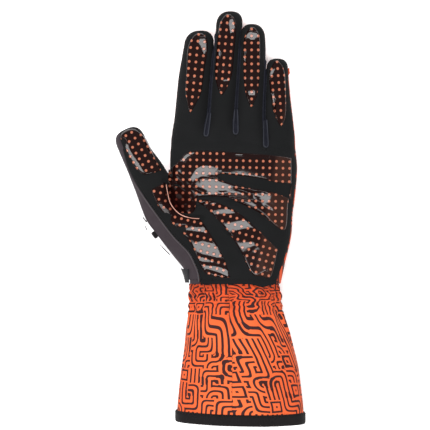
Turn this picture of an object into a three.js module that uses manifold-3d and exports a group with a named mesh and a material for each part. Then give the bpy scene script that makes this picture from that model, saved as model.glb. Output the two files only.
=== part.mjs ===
// Left-hand karting glove lying on its back: palm up (+Z), fingers toward +Y, thumb toward -X, cuff toward -Y.
// Millimetres. Hollow shell of suede and stretch fabric, cut into its sewn panels, with silicone grip patches.
import * as THREE from 'three';
import { mergeVertices } from 'three/addons/utils/BufferGeometryUtils.js';
import Module from 'manifold-3d';

const wasm = await Module();
wasm.setup();

// Driving sizes
const HAND = 199; // wrist line to the middle fingertip
const BREADTH = 93; // palm breadth, the unit across
const DEPTH = 32; // palm depth, the unit of height
const CUFF = 105; // wrist line to the hem
const WALL = 1.6; // suede or stretch fabric with its backing
const GAP = 0.3; // seam gap between neighbouring pieces
const GRIP = 0.8; // silicone patch
const SEAM = 0.36; // height of the side seams
const FOURCHETTE = 0.3; // height of the strips between the fingers
const TAPE = 1.2; // thickness of the hem tape
const TUCK = 9; // length of cuff that runs up inside the hand
const BROAD_FLOOR = 0.56; // height that the palm and thumb patches stay above
const STRAP = 24; // width of the wrist strap
const STRAP_WALL = 1.5; // thickness of the wrist strap

// Sections of the hand between wrist and finger roots
const TRUNK = [
  { along: 0.0, left: -0.372, right: 0.368, low: 0.08, high: 1.06 },
  { along: 0.07, left: -0.395, right: 0.4, low: 0.07, high: 1.06 },
  { along: 0.17, left: -0.455, right: 0.449, low: 0.0, high: 1.05 },
  { along: 0.27, left: -0.492, right: 0.478, low: -0.03, high: 1.02 },
  { along: 0.38, left: -0.502, right: 0.501, low: -0.03, high: 0.96 },
  { along: 0.47, left: -0.502, right: 0.49, low: -0.03, high: 0.86 },
  { along: 0.52, left: -0.494, right: 0.482, low: -0.03, high: 0.78 },
];

// Sections of each finger from inside the palm to the start of its round tip, then the length of the tip
const FINGERS = {
  index: {
    tip: 0.054,
    rows: [
      { along: 0.42, centre: -0.352, half: 0.12, low: 0.03, high: 0.8 },
      { along: 0.538, centre: -0.354, half: 0.135, low: -0.03, high: 0.78 },
      { along: 0.61, centre: -0.337, half: 0.131, low: -0.03, high: 0.68 },
      { along: 0.75, centre: -0.31, half: 0.128, low: -0.02, high: 0.63 },
      { along: 0.83, centre: -0.289, half: 0.121, low: 0.0, high: 0.61 },
      { along: 0.875, centre: -0.277, half: 0.116, low: 0.03, high: 0.59 },
    ],
  },
  middle: {
    tip: 0.05,
    rows: [
      { along: 0.42, centre: -0.108, half: 0.115, low: 0.03, high: 0.83 },
      { along: 0.538, centre: -0.104, half: 0.119, low: -0.03, high: 0.8 },
      { along: 0.61, centre: -0.094, half: 0.102, low: -0.03, high: 0.7 },
      { along: 0.75, centre: -0.073, half: 0.1, low: -0.02, high: 0.65 },
      { along: 0.88, centre: -0.051, half: 0.098, low: 0.0, high: 0.62 },
      { along: 0.95, centre: -0.037, half: 0.104, low: 0.03, high: 0.6 },
    ],
  },
  ring: {
    tip: 0.048,
    rows: [
      { along: 0.42, centre: 0.133, half: 0.115, low: 0.03, high: 0.83 },
      { along: 0.53, centre: 0.13, half: 0.118, low: -0.03, high: 0.79 },
      { along: 0.61, centre: 0.125, half: 0.106, low: -0.03, high: 0.68 },
      { along: 0.75, centre: 0.139, half: 0.103, low: -0.02, high: 0.63 },
      { along: 0.85, centre: 0.15, half: 0.1, low: 0.0, high: 0.61 },
      { along: 0.9, centre: 0.147, half: 0.1, low: 0.03, high: 0.59 },
    ],
  },
  little: {
    tip: 0.036,
    rows: [
      { along: 0.4, centre: 0.355, half: 0.1, low: 0.05, high: 0.74 },
      { along: 0.49, centre: 0.366, half: 0.117, low: -0.03, high: 0.76 },
      { along: 0.54, centre: 0.364, half: 0.116, low: -0.03, high: 0.66 },
      { along: 0.605, centre: 0.353, half: 0.112, low: -0.03, high: 0.61 },
      { along: 0.7, centre: 0.344, half: 0.098, low: -0.01, high: 0.56 },
      { along: 0.79, centre: 0.342, half: 0.084, low: 0.03, high: 0.53 },
    ],
  },
};

// Sections of the thumb, from inside the palm outward
const THUMB_TIP = 0.058;
const THUMB = [
  { along: 0.05, centre: -0.18, half: 0.14, low: 0.12, high: 0.95 },
  { along: 0.12, centre: -0.322, half: 0.177, low: 0.03, high: 1.04 },
  { along: 0.2, centre: -0.44, half: 0.196, low: 0.0, high: 1.1 },
  { along: 0.276, centre: -0.536, half: 0.181, low: 0.02, high: 1.06 },
  { along: 0.349, centre: -0.623, half: 0.158, low: 0.07, high: 1.0 },
  { along: 0.412, centre: -0.693, half: 0.138, low: 0.12, high: 0.93 },
  { along: 0.46, centre: -0.751, half: 0.123, low: 0.16, high: 0.87 },
  { along: 0.505, centre: -0.796, half: 0.112, low: 0.2, high: 0.82 },
];

// Sections of the cuff from inside the wrist down to the hem
const GAUNTLET = [
  { along: TUCK / CUFF, left: -0.3475, right: 0.3435, low: 0.145, high: 0.985 },
  { along: 0.0, left: -0.3475, right: 0.3435, low: 0.145, high: 0.985 },
  { along: -0.12, left: -0.35, right: 0.36, low: 0.08, high: 1.02 },
  { along: -0.25, left: -0.366, right: 0.392, low: 0.04, high: 1.1 },
  { along: -0.4, left: -0.383, right: 0.45, low: 0.02, high: 1.2 },
  { along: -0.6, left: -0.413, right: 0.503, low: 0.01, high: 1.3 },
  { along: -0.8, left: -0.436, right: 0.528, low: 0.01, high: 1.37 },
  { along: -0.889, left: -0.442, right: 0.532, low: 0.01, high: 1.39 },
  { along: -0.95, left: -0.443, right: 0.533, low: 0.01, high: 1.4 },
  { along: -0.965, left: -0.443, right: 0.533, low: 0.01, high: 1.4 },
];
const HEM_BOW = 3.5; // the front of the hem hangs this much lower than its sides
const HEM_TILT = 0.022; // slope of the hem toward the little-finger side
const GATHER = 1.2; // height of the gathers at the wrist

// Folds pressed into the palm side: from one point to another, each with its depth and half width as shares of DEPTH
const FOLDS = [
  { x0: -0.534, y0: 0.367, x1: -0.479, y1: 0.275, depth: 0.081, wide: 0.112 },
  { x0: -0.479, y0: 0.275, x1: -0.283, y1: 0.235, depth: 0.069, wide: 0.119 },
  { x0: -0.42, y0: 0.512, x1: 0.42, y1: 0.5, depth: 0.028, wide: 0.125 },
  { x0: -0.2, y0: 0.25, x1: 0.16, y1: 0.21, depth: 0.075, wide: 0.406 },
  { x0: -0.22, y0: 0.07, x1: 0.3, y1: 0.05, depth: 0.037, wide: 0.156 },
  { x0: -0.42, y0: 0.73, x1: -0.2, y1: 0.735, depth: 0.022, wide: 0.109 },
  { x0: -0.17, y0: 0.77, x1: 0.03, y1: 0.77, depth: 0.022, wide: 0.109 },
  { x0: 0.04, y0: 0.74, x1: 0.24, y1: 0.735, depth: 0.022, wide: 0.109 },
];

// Edge of the suede palm seen from above, from the little-finger side of the wrist round to the thumb side
const PALM_RIGHT = [
  { across: 0.332, along: -0.03 },
  { across: 0.335, along: 0.005 },
  { across: 0.385, along: 0.085 },
  { across: 0.435, along: 0.163 },
  { across: 0.453, along: 0.202 },
  { across: 0.489, along: 0.323 },
  { across: 0.489, along: 0.46 },
  { across: 0.47, along: 0.56 },
  { across: 0.455, along: 0.62 },
  { across: 0.433, along: 0.7 },
  { across: 0.53, along: 0.86 },
];
const PALM_LEFT = [
  { across: -0.96, along: 0.62 },
  { across: -0.96, along: 0.54 },
  { across: -0.923, along: 0.509 },
  { across: -0.852, along: 0.431 },
  { across: -0.785, along: 0.376 },
  { across: -0.719, along: 0.323 },
  { across: -0.624, along: 0.256 },
  { across: -0.502, along: 0.176 },
  { across: -0.369, along: 0.11 },
  { across: -0.32, along: 0.068 },
  { across: -0.286, along: 0.033 },
  { across: -0.27, along: -0.03 },
];
// Outer edge of the charcoal panel, from the wrist to the thumb tip
const CHARCOAL_EDGE = [
  { across: -0.338, along: -0.03 },
  { across: -0.338, along: 0.007 },
  { across: -0.4, along: 0.055 },
  { across: -0.471, along: 0.096 },
  { across: -0.542, along: 0.139 },
  { across: -0.644, along: 0.194 },
  { across: -0.683, along: 0.231 },
  { across: -0.745, along: 0.29 },
  { across: -0.84, along: 0.35 },
  { across: -1.0, along: 0.4 },
  { across: -1.05, along: 0.5 },
];

// Silicone patches on the fingers: left and right edge at points along the finger
const FINGER_GRIPS = {
  index: [
    { along: 0.626, left: -0.352, right: -0.34 },
    { along: 0.657, left: -0.366, right: -0.3 },
    { along: 0.704, left: -0.382, right: -0.256 },
    { along: 0.782, left: -0.374, right: -0.232 },
    { along: 0.858, left: -0.366, right: -0.206 },
    { along: 0.9, left: -0.33, right: -0.216 },
    { along: 0.917, left: -0.29, right: -0.25 },
  ],
  middle: [
    { along: 0.69, left: -0.1, right: -0.09 },
    { along: 0.716, left: -0.122, right: -0.06 },
    { along: 0.77, left: -0.141, right: -0.024 },
    { along: 0.855, left: -0.126, right: -0.006 },
    { along: 0.935, left: -0.113, right: 0.014 },
    { along: 0.968, left: -0.09, right: 0.0 },
    { along: 0.987, left: -0.055, right: -0.03 },
  ],
  ring: [
    { along: 0.646, left: 0.129, right: 0.141 },
    { along: 0.69, left: 0.094, right: 0.181 },
    { along: 0.763, left: 0.076, right: 0.2 },
    { along: 0.884, left: 0.076, right: 0.206 },
    { along: 0.92, left: 0.1, right: 0.19 },
    { along: 0.94, left: 0.13, right: 0.16 },
  ],
  little: [
    { along: 0.576, left: 0.362, right: 0.374 },
    { along: 0.605, left: 0.33, right: 0.402 },
    { along: 0.656, left: 0.299, right: 0.41 },
    { along: 0.759, left: 0.274, right: 0.403 },
    { along: 0.798, left: 0.3, right: 0.38 },
    { along: 0.817, left: 0.325, right: 0.345 },
  ],
};
// Silicone patches on the thumb and palm: lower and upper edge at points across the hand
const BROAD_GRIPS = {
  grip_thumb: [
    { across: -0.887, near: 0.53, far: 0.536 },
    { across: -0.848, near: 0.499, far: 0.55 },
    { across: -0.808, near: 0.468, far: 0.563 },
    { across: -0.73, near: 0.409, far: 0.545 },
    { across: -0.683, near: 0.398, far: 0.525 },
    { across: -0.628, near: 0.404, far: 0.466 },
    { across: -0.573, near: 0.413, far: 0.417 },
  ],
  grip_palm_upper: [
    { across: -0.479, near: 0.35, far: 0.43 },
    { across: -0.416, near: 0.342, far: 0.458 },
    { across: -0.345, near: 0.33, far: 0.481 },
    { across: -0.212, near: 0.317, far: 0.484 },
    { across: -0.063, near: 0.315, far: 0.481 },
    { across: 0.047, near: 0.293, far: 0.469 },
    { across: 0.212, near: 0.253, far: 0.467 },
    { across: 0.392, near: 0.194, far: 0.462 },
    { across: 0.424, near: 0.29, far: 0.46 },
    { across: 0.45, near: 0.363, far: 0.458 },
  ],
  grip_palm_middle: [
    { across: -0.283, near: 0.297, far: 0.304 },
    { across: -0.196, near: 0.266, far: 0.304 },
    { across: -0.063, near: 0.198, far: 0.281 },
    { across: 0.047, near: 0.121, far: 0.253 },
    { across: 0.137, near: 0.037, far: 0.216 },
    { across: 0.212, near: 0.026, far: 0.185 },
    { across: 0.29, near: 0.026, far: 0.147 },
    { across: 0.341, near: 0.121, far: 0.125 },
  ],
  grip_thenar: [
    { across: -0.644, near: 0.337, far: 0.343 },
    { across: -0.565, near: 0.275, far: 0.361 },
    { across: -0.538, near: 0.259, far: 0.365 },
    { across: -0.52, near: 0.249, far: 0.308 },
    { across: -0.455, near: 0.213, far: 0.268 },
    { across: -0.345, near: 0.158, far: 0.244 },
    { across: -0.267, near: 0.07, far: 0.233 },
    { across: -0.22, near: 0.037, far: 0.204 },
    { across: -0.102, near: 0.022, far: 0.114 },
    { across: -0.031, near: 0.022, far: 0.026 },
  ],
};
// Line across the back from the wrist to the thumb's crotch, where the white back of the thumb begins
const WHITE_EDGE = [
  { across: -0.2, along: -0.03 },
  { across: -0.2, along: 0.12 },
  { across: -0.36, along: 0.3 },
  { across: -0.5, along: 0.372 },
  { across: -0.54, along: 0.5 },
  { across: -0.6, along: 0.7 },
  { across: -1.2, along: 0.7 },
  { across: -1.2, along: -0.03 },
];
// Ends of the wrist strap in plan, from the thumb side to the little-finger side of the back
const STRAP_ENDS = { from: -0.6, to: 0.24, foot: 0.008, high: 0.43 };
// Where each strip between fingers begins, by the fingers on both sides
const CROTCHES = [
  { name: 'fourchette_index_middle', left: 'index', right: 'middle', along: 0.47 },
  { name: 'fourchette_middle_ring', left: 'middle', right: 'ring', along: 0.47 },
  { name: 'fourchette_ring_little', left: 'ring', right: 'little', along: 0.425 },
];

// Bare stripe of suede between the two arms of the upper palm patch
const BARE_STRIPE = [
  { across: -0.126, near: 0.38, far: 0.402 },
  { across: 0.028, near: 0.356, far: 0.394 },
  { across: 0.212, near: 0.341, far: 0.382 },
  { across: 0.322, near: 0.33, far: 0.37 },
  { across: 0.5, near: 0.298, far: 0.362 },
];

// Number of facets around and along each form, for its outside and for its lining
const FACETS = {
  outside: { trunk: 28, rows: 9, finger: 14, joints: 5, thumb: 14, knuckles: 6, turns: [40, 76] },
  lining: { trunk: 18, rows: 5, finger: 8, joints: 3, thumb: 10, knuckles: 4, turns: [60] },
};
const CUFF_FACETS = 32;
const CUFF_PLACES = [0, 1, 1.5, 2, 2.5, 3, 3.5, 4, 5, 6, 7, 8]; // rows of the gauntlet table that get a section
const TAPE_PLACES = [7, 9];
const SLOT_PLACES = [7, 8];
const TIP_FULLNESS = 2.4;
const LIMB_FULLNESS = 2.3;
const TRUNK_FULLNESS = 2.6;
const CUFF_FULLNESS = 2.2;
const TRUNK_END = 4; // roundness of the palm's end between the fingers
const FAR = 400; // beyond every part of the glove
const STRIP_REACH = 0.012; // how far a strip between fingers runs into their round tips
const BEYOND = 1.1; // share of a size that lies past the glove's outline

// Little-finger side of the palm's end: where its slant begins and ends, across and along, and how far it drops
const SLANT = { near: 0.08, far: 0.27, start: 0.36, end: 0.52, drop: 0.042 };
const TRUNK_TURNS = [40, 82];
const TRUNK_CLOSE = 0.25; // how much the palm's end narrows
// Gathers of the cuff: shares of its length where they rise, fade and end, and how much of them fades
const GATHERED = { start: 0.01, risen: 0.1, fade: 0.12, end: 0.6, lost: 0.75 };
// Waves round the cuff: number, turn at the wrist, further turn down to the hem, and height as a share of GATHER
const WAVES = [
  { count: 7, turn: 1, twist: 0, height: 1 },
  { count: 10, turn: 2.3, twist: 4, height: 0.6 },
];
const HEM_START = 0.3; // share of the cuff's length where the hem begins to bow

// Value of a table's columns at a place counted in rows, on a smooth curve through the rows
function blendRow(rows, place) {
  const i = Math.min(Math.floor(place), rows.length - 2);
  const f = place - i;
  const at = (k) => rows[Math.min(Math.max(k, 0), rows.length - 1)];
  const row = {};
  for (const key of Object.keys(rows[0])) {
    const [p, q, r, s] = [at(i - 1)[key], at(i)[key], at(i + 1)[key], at(i + 2)[key]];
    row[key] = q + 0.5 * f * (r - p + f * (2 * p - 5 * q + 4 * r - s + f * (3 * (q - r) + s - p)));
  }
  return row;
}

// Places through a table, evenly spread
const spreadPlaces = (rows, steps) => Array.from({ length: steps + 1 }, (_, i) => (i * (rows.length - 1)) / steps);

// Depth of the folds under a point of the palm side
function foldDepth(x, y) {
  let total = 0;
  for (const fold of FOLDS) {
    const [ax, ay] = [fold.x0 * BREADTH, fold.y0 * HAND];
    const [bx, by] = [fold.x1 * BREADTH - ax, fold.y1 * HAND - ay];
    const share = ((x - ax) * bx + (y - ay) * by) / (bx * bx + by * by);
    const t = Math.min(Math.max(share, 0), 1);
    const away = Math.hypot(x - ax - t * bx, y - ay - t * by) / (fold.wide * DEPTH);
    total += fold.depth * DEPTH * Math.exp(-away * away);
  }
  return total;
}

// Solid from points and triangles, turned outward if they face in
function solid(points, faces) {
  let volume = 0;
  for (const [a, b, c] of faces) {
    volume += points[a].dot(new THREE.Vector3().crossVectors(points[b], points[c]));
  }
  const triVerts = Uint32Array.from(faces.flatMap(([a, b, c]) => (volume > 0 ? [a, b, c] : [a, c, b])));
  const vertProperties = Float32Array.from(points.flatMap((p) => [p.x, p.y, p.z]));
  return new wasm.Manifold(new wasm.Mesh({ numProp: 3, vertProperties, triVerts }));
}

// Solid from rings of points; each end closes on a point of its own
function skin(rings, around) {
  const points = rings.flat();
  const faces = [];
  for (let i = 0; i + 1 < rings.length; i++) {
    for (let j = 0; j < around; j++) {
      const a = i * around + j;
      const b = i * around + ((j + 1) % around);
      faces.push([a, b, a + around], [b, b + around, a + around]);
    }
  }
  const last = (rings.length - 1) * around;
  for (const [ring, start, first] of [[rings[0], 0, true], [rings.at(-1), last, false]]) {
    const pole = points.length;
    points.push(ring.reduce((sum, p) => sum.add(p), new THREE.Vector3()).divideScalar(around));
    for (let j = 0; j < around; j++) {
      const [a, b] = [start + j, start + ((j + 1) % around)];
      faces.push(first ? [b, a, pole] : [a, b, pole]);
    }
  }
  return solid(points, faces);
}

// Solid from a closed geometry
function fromGeometry(geometry) {
  geometry.deleteAttribute('normal');
  geometry.deleteAttribute('uv');
  const merged = mergeVertices(geometry, 1e-4);
  const vertProperties = Float32Array.from(merged.attributes.position.array);
  const triVerts = Uint32Array.from(merged.index.array);
  return new wasm.Manifold(new wasm.Mesh({ numProp: 3, vertProperties, triVerts }));
}

// Upright solid over an outline in plan, between two heights
function prism(outline, low, high) {
  const shape = new THREE.Shape(outline.map(([x, y]) => new THREE.Vector2(x, y)));
  const geometry = new THREE.ExtrudeGeometry(shape, { depth: high - low, bevelEnabled: false, steps: 1 });
  return fromGeometry(geometry.translate(0, 0, low));
}

// Everything above a height, or beyond a line across
function block(from, to) {
  const size = to.map((v, i) => v - from[i]);
  const box = new THREE.BoxGeometry(...size);
  return fromGeometry(box.translate(...from.map((v, i) => v + size[i] / 2)));
}
const above = (z) => block([-FAR, -FAR, z], [FAR, FAR, FAR]);
const between = (y0, y1) => block([-FAR, y0, -FAR], [FAR, y1, FAR]);

const union = (solids) => wasm.Manifold.union(solids);

// Outline moved outward by a distance
function widen(outline, by) {
  const points = outline.map(([x, y]) => new THREE.Vector2(x, y));
  const turn = THREE.ShapeUtils.area(points) > 0 ? by : -by;
  return points.map((point, i) => {
    const before = points.at(i - 1);
    const after = points[(i + 1) % points.length];
    const [p, q] = [point.clone().sub(before).normalize(), after.clone().sub(point).normalize()];
    const stretch = turn / (1 + p.dot(q));
    return [point.x + (p.y + q.y) * stretch, point.y - (p.x + q.x) * stretch];
  });
}

// Share of a section's half size at an angle, on a rounded square of the given fullness
const full = (value, fullness) => Math.sign(value) * Math.abs(value) ** (2 / fullness);

// How far a point faces the palm side
const facing = (angle) => Math.max(Math.sin(angle), 0) ** 0.7;

// Finger or thumb: sections set square to the path through their centres, with a round tip
function limb(rows, tip, { around, steps, turns }, grow) {
  const centreAt = (place) => {
    const row = blendRow(rows, Math.min(Math.max(place, 0), rows.length - 1));
    return { row, x: row.centre * BREADTH, y: row.along * HAND };
  };
  const ring = (place, scale, forward) => {
    const { row, x, y } = centreAt(place);
    const before = centreAt(place - 0.25);
    const after = centreAt(place + 0.25);
    const way = new THREE.Vector2(after.x - before.x, after.y - before.y).normalize();
    const middle = ((row.low + row.high) / 2) * DEPTH;
    const tall = ((row.high - row.low) / 2) * DEPTH + grow;
    return Array.from({ length: around }, (_, j) => {
      const angle = (2 * Math.PI * j) / around;
      const side = scale * full(Math.cos(angle), LIMB_FULLNESS);
      const rise = tall * scale * full(Math.sin(angle), LIMB_FULLNESS);
      const at = (half) => [x + side * half * way.y + forward * way.x, y - side * half * way.x + forward * way.y];
      const fold = facing(angle) * scale * foldDepth(...at(row.half * BREADTH));
      return new THREE.Vector3(...at(row.half * BREADTH + grow), middle + rise - fold);
    });
  };
  const rings = spreadPlaces(rows, steps).map((place) => ring(place, 1, 0));
  const reach = tip * HAND + grow;
  for (const turn of turns) {
    const angle = THREE.MathUtils.degToRad(turn);
    const scale = full(Math.cos(angle), TIP_FULLNESS);
    rings.push(ring(rows.length - 1, scale, reach * full(Math.sin(angle), TIP_FULLNESS)));
  }
  return skin(rings, around);
}

// One section of the palm or the cuff, square across the hand
function band(rows, place, { around, unit, fullness, grow, scale = 1, shift = 0, shape }) {
  const row = blendRow(rows, place);
  const half = ((row.right - row.left) / 2) * BREADTH * scale;
  const x = ((row.right + row.left) / 2) * BREADTH;
  const middle = ((row.low + row.high) / 2) * DEPTH;
  const tall = (((row.high - row.low) / 2) * DEPTH + grow) * scale;
  const y = row.along * unit + shift;
  return Array.from({ length: around }, (_, j) => {
    const angle = (2 * Math.PI * j) / around;
    const [c, s] = [full(Math.cos(angle), fullness), full(Math.sin(angle), fullness)];
    const out = grow * scale * c;
    return shape({ angle, c, s, x: x + half * c, out, y, z: middle + tall * s, row: row.along });
  });
}

// Palm between wrist and finger roots; the little finger's root sits lower, so its end slants back
function trunk({ trunk: around, rows: steps }, grow, over) {
  const shape = ({ angle, x, out, y, z }) => {
    const across = THREE.MathUtils.smoothstep(x, SLANT.near * BREADTH, SLANT.far * BREADTH);
    const ahead = THREE.MathUtils.smoothstep(y, SLANT.start * HAND, SLANT.end * HAND);
    const py = y - SLANT.drop * HAND * across * ahead;
    return new THREE.Vector3(x + out, py, z - facing(angle) * foldDepth(x, py));
  };
  const common = { around, unit: HAND, fullness: TRUNK_FULLNESS, grow, shape };
  const rings = [band(TRUNK, 0, { ...common, shift: -over })];
  rings.push(...spreadPlaces(TRUNK, steps).map((place) => band(TRUNK, place, common)));
  for (const turn of TRUNK_TURNS) {
    const angle = THREE.MathUtils.degToRad(turn);
    const shift = (TRUNK_END + grow) * Math.sin(angle);
    rings.push(band(TRUNK, TRUNK.length - 1, { ...common, shift, scale: 1 - TRUNK_CLOSE * (1 - Math.cos(angle)) }));
  }
  return skin(rings, around);
}

// Hand body, grown or shrunk evenly
function hand(grow, facets, over) {
  const { finger, joints, thumb, knuckles, turns } = facets;
  const limbs = Object.values(FINGERS).map(({ rows, tip }) =>
    limb(rows, tip, { around: finger, steps: joints, turns }, grow));
  limbs.push(limb(THUMB, THUMB_TIP, { around: thumb, steps: knuckles, turns }, grow));
  return union([trunk(facets, grow, over), ...limbs]);
}

// Cuff's form through places of its table, grown or shrunk evenly, carried on past both ends
function cuffForm(places, grow, { before = 0, after = 0 } = {}) {
  const shape = ({ angle, c, s, x, out, y, z, row }) => {
    const risen = THREE.MathUtils.smoothstep(-row, GATHERED.start, GATHERED.risen);
    const faded = GATHERED.lost * THREE.MathUtils.smoothstep(-row, GATHERED.fade, GATHERED.end);
    const wave = ({ count, turn, twist, height }) => height * Math.sin(count * angle + turn + twist * row);
    const gather = GATHER * risen * (1 - faded) * WAVES.reduce((sum, one) => sum + wave(one), 0);
    const hem = THREE.MathUtils.smoothstep(-row, HEM_START, -GAUNTLET.at(-1).along);
    const py = y - hem * (HEM_BOW * s + HEM_TILT * x);
    return new THREE.Vector3(x + out + gather * c, py, z + gather * s);
  };
  const common = { around: CUFF_FACETS, unit: CUFF, fullness: CUFF_FULLNESS, grow, shape };
  const rings = places.map((place) => band(GAUNTLET, place, common));
  if (before) rings.unshift(band(GAUNTLET, places[0], { ...common, shift: before }));
  if (after) rings.push(band(GAUNTLET, places.at(-1), { ...common, shift: -after }));
  return skin(rings, CUFF_FACETS);
}

// Outlines in plan from the tables
const plan = (rows) => rows.map(({ across, along }) => [across * BREADTH, along * HAND]);
const patchPlan = (rows, side) => {
  const edge = (key) => spreadPlaces(rows, 2 * (rows.length - 1)).map((place) => {
    const row = blendRow(rows, place);
    return side ? [row[key] * BREADTH, row.along * HAND] : [row.across * BREADTH, row[key] * HAND];
  });
  const [one, other] = side ? [edge('right'), edge('left')] : [edge('near'), edge('far')];
  return [...one, ...other.reverse()];
};

const SEAM_HEIGHT = SEAM * DEPTH;
const outside = hand(0, FACETS.outside, 0).intersect(above(0));
const lining = hand(-WALL, FACETS.lining, TUCK).intersect(above(WALL));
const shell = outside.subtract(lining).intersect(between(0, FAR));
const pieces = {};

// Strips between the fingers, from finger middle to finger middle
const strips = CROTCHES.map(({ name, left, right, along }) => {
  const [a, b] = [FINGERS[left].rows, FINGERS[right].rows];
  const end = Math.min(a.at(-1).along, b.at(-1).along) + STRIP_REACH;
  const side = (rows, by) => rows.filter((r) => r.along > along && r.along < end)
    .map((r) => [r.centre * BREADTH + by, r.along * HAND]);
  const cut = (by) => {
    const [west, east] = [side(a, -by), side(b, by)];
    const [foot, head] = [along * HAND - by, end * HAND + by];
    const outline = [[west[0][0], foot], [east[0][0], foot], ...east, [east.at(-1)[0], head],
      [west.at(-1)[0], head], ...west.reverse()];
    const rise = (FOURCHETTE / 2) * DEPTH + by;
    return prism(outline, SEAM_HEIGHT - rise, SEAM_HEIGHT + rise);
  };
  return { name, cut };
});
const stripRoom = union(strips.map(({ cut }) => cut(GAP / 2)));

// Panels, each cut from the shell with a seam gap toward the ones before it
const [outRight, outLeft, outAhead] = [BEYOND / 2 * BREADTH, -BEYOND * BREADTH, BEYOND * HAND];
const palmOutline = [...plan(PALM_RIGHT), [outRight, outAhead], [outLeft, outAhead], ...plan(PALM_LEFT)];
const charcoalOutline = [...plan(PALM_LEFT).reverse(), ...plan(CHARCOAL_EDGE).reverse()];
pieces.palm_panel = shell.intersect(prism(palmOutline, SEAM_HEIGHT + GAP / 2, FAR)).subtract(stripRoom);
let rest = shell.subtract(union([prism(widen(palmOutline, GAP), SEAM_HEIGHT - GAP / 2, FAR), stripRoom]));
pieces.thumb_side_panel = rest.intersect(prism(charcoalOutline, SEAM_HEIGHT + GAP / 2, FAR));
rest = rest.subtract(prism(widen(charcoalOutline, GAP), SEAM_HEIGHT - GAP / 2, FAR));
pieces.thumb_back_panel = rest.intersect(prism(plan(WHITE_EDGE), -FAR, FAR));
pieces.back_panel = rest.subtract(prism(widen(plan(WHITE_EDGE), GAP), -FAR, FAR));
for (const { name, cut } of strips) pieces[name] = shell.intersect(cut(-GAP / 2));

// Silicone patches, laid over the palm side with a gap under them
const gripLayer = hand(GAP + GRIP, FACETS.outside, 0).subtract(hand(GAP, FACETS.outside, 0));
for (const [finger, rows] of Object.entries(FINGER_GRIPS)) {
  pieces[`grip_${finger}`] = gripLayer.intersect(prism(patchPlan(rows, true), SEAM_HEIGHT, FAR));
}
for (const [name, rows] of Object.entries(BROAD_GRIPS)) {
  pieces[name] = gripLayer.intersect(prism(patchPlan(rows, false), BROAD_FLOOR * DEPTH, FAR));
}
const stripe = prism(patchPlan(BARE_STRIPE, false), -FAR, FAR);
pieces.grip_palm_upper = pieces.grip_palm_upper.subtract(stripe);

// Cuff tucked up inside the wrist, its hem in a folded tape
const cuffFloor = TAPE + GAP;
const past = { before: TUCK, after: TUCK };
const cuffLining = cuffForm(CUFF_PLACES, -WALL, past).intersect(above(cuffFloor + WALL));
pieces.cuff = cuffForm(CUFF_PLACES, 0).intersect(above(cuffFloor)).subtract(cuffLining);
const tapeBore = cuffForm(TAPE_PLACES, -WALL - GAP - TAPE, past).intersect(above(cuffFloor + WALL + GAP + TAPE));
const slotOuter = cuffForm(SLOT_PLACES, GAP, { before: TUCK, after: GAP }).intersect(above(TAPE));
const slotInner = cuffForm(SLOT_PLACES, -WALL - GAP, past).intersect(above(cuffFloor + WALL + GAP));
pieces.hem_binding = cuffForm(TAPE_PLACES, GAP + TAPE).intersect(above(0))
  .subtract(union([tapeBore, slotOuter.subtract(slotInner)]));

// Strap across the back of the wrist
const strapFoot = STRAP_ENDS.foot * HAND;
const strapRoom = block([STRAP_ENDS.from * BREADTH, strapFoot, 0],
  [STRAP_ENDS.to * BREADTH, strapFoot + STRAP, STRAP_ENDS.high * DEPTH]);
pieces.wrist_strap = hand(GAP + STRAP_WALL, FACETS.outside, 0).subtract(hand(GAP, FACETS.outside, 0))
  .intersect(strapRoom);

const COLOURS = {
  palm_panel: '#242423',
  thumb_side_panel: '#453f46',
  thumb_back_panel: '#e6e3e2',
  back_panel: '#f8743a',
  fourchette_index_middle: '#1c1e26',
  fourchette_middle_ring: '#1c1e26',
  fourchette_ring_little: '#1c1e26',
  grip_index: '#38302c',
  grip_middle: '#38302c',
  grip_ring: '#38302c',
  grip_little: '#38302c',
  grip_thumb: '#38302c',
  grip_palm_upper: '#38302c',
  grip_palm_middle: '#38302c',
  grip_thenar: '#38302c',
  cuff: '#f8743a',
  hem_binding: '#161616',
  wrist_strap: '#1b1b1d',
};

// Origin at the middle of the glove's footprint, on the floor
const box = union(Object.values(pieces)).boundingBox();
const group = new THREE.Group();
group.name = 'karting_glove';
for (const [name, piece] of Object.entries(pieces)) {
  const { vertProperties, triVerts } = piece.getMesh();
  const geometry = new THREE.BufferGeometry();
  geometry.setAttribute('position', new THREE.BufferAttribute(Float32Array.from(vertProperties), 3));
  geometry.setIndex(new THREE.BufferAttribute(Uint32Array.from(triVerts), 1));
  geometry.translate(-(box.min[0] + box.max[0]) / 2, -(box.min[1] + box.max[1]) / 2, 0);
  const mesh = new THREE.Mesh(geometry, new THREE.MeshStandardMaterial({ color: COLOURS[name] }));
  mesh.name = name;
  group.add(mesh);
}
export default group;
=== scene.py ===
import math

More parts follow.
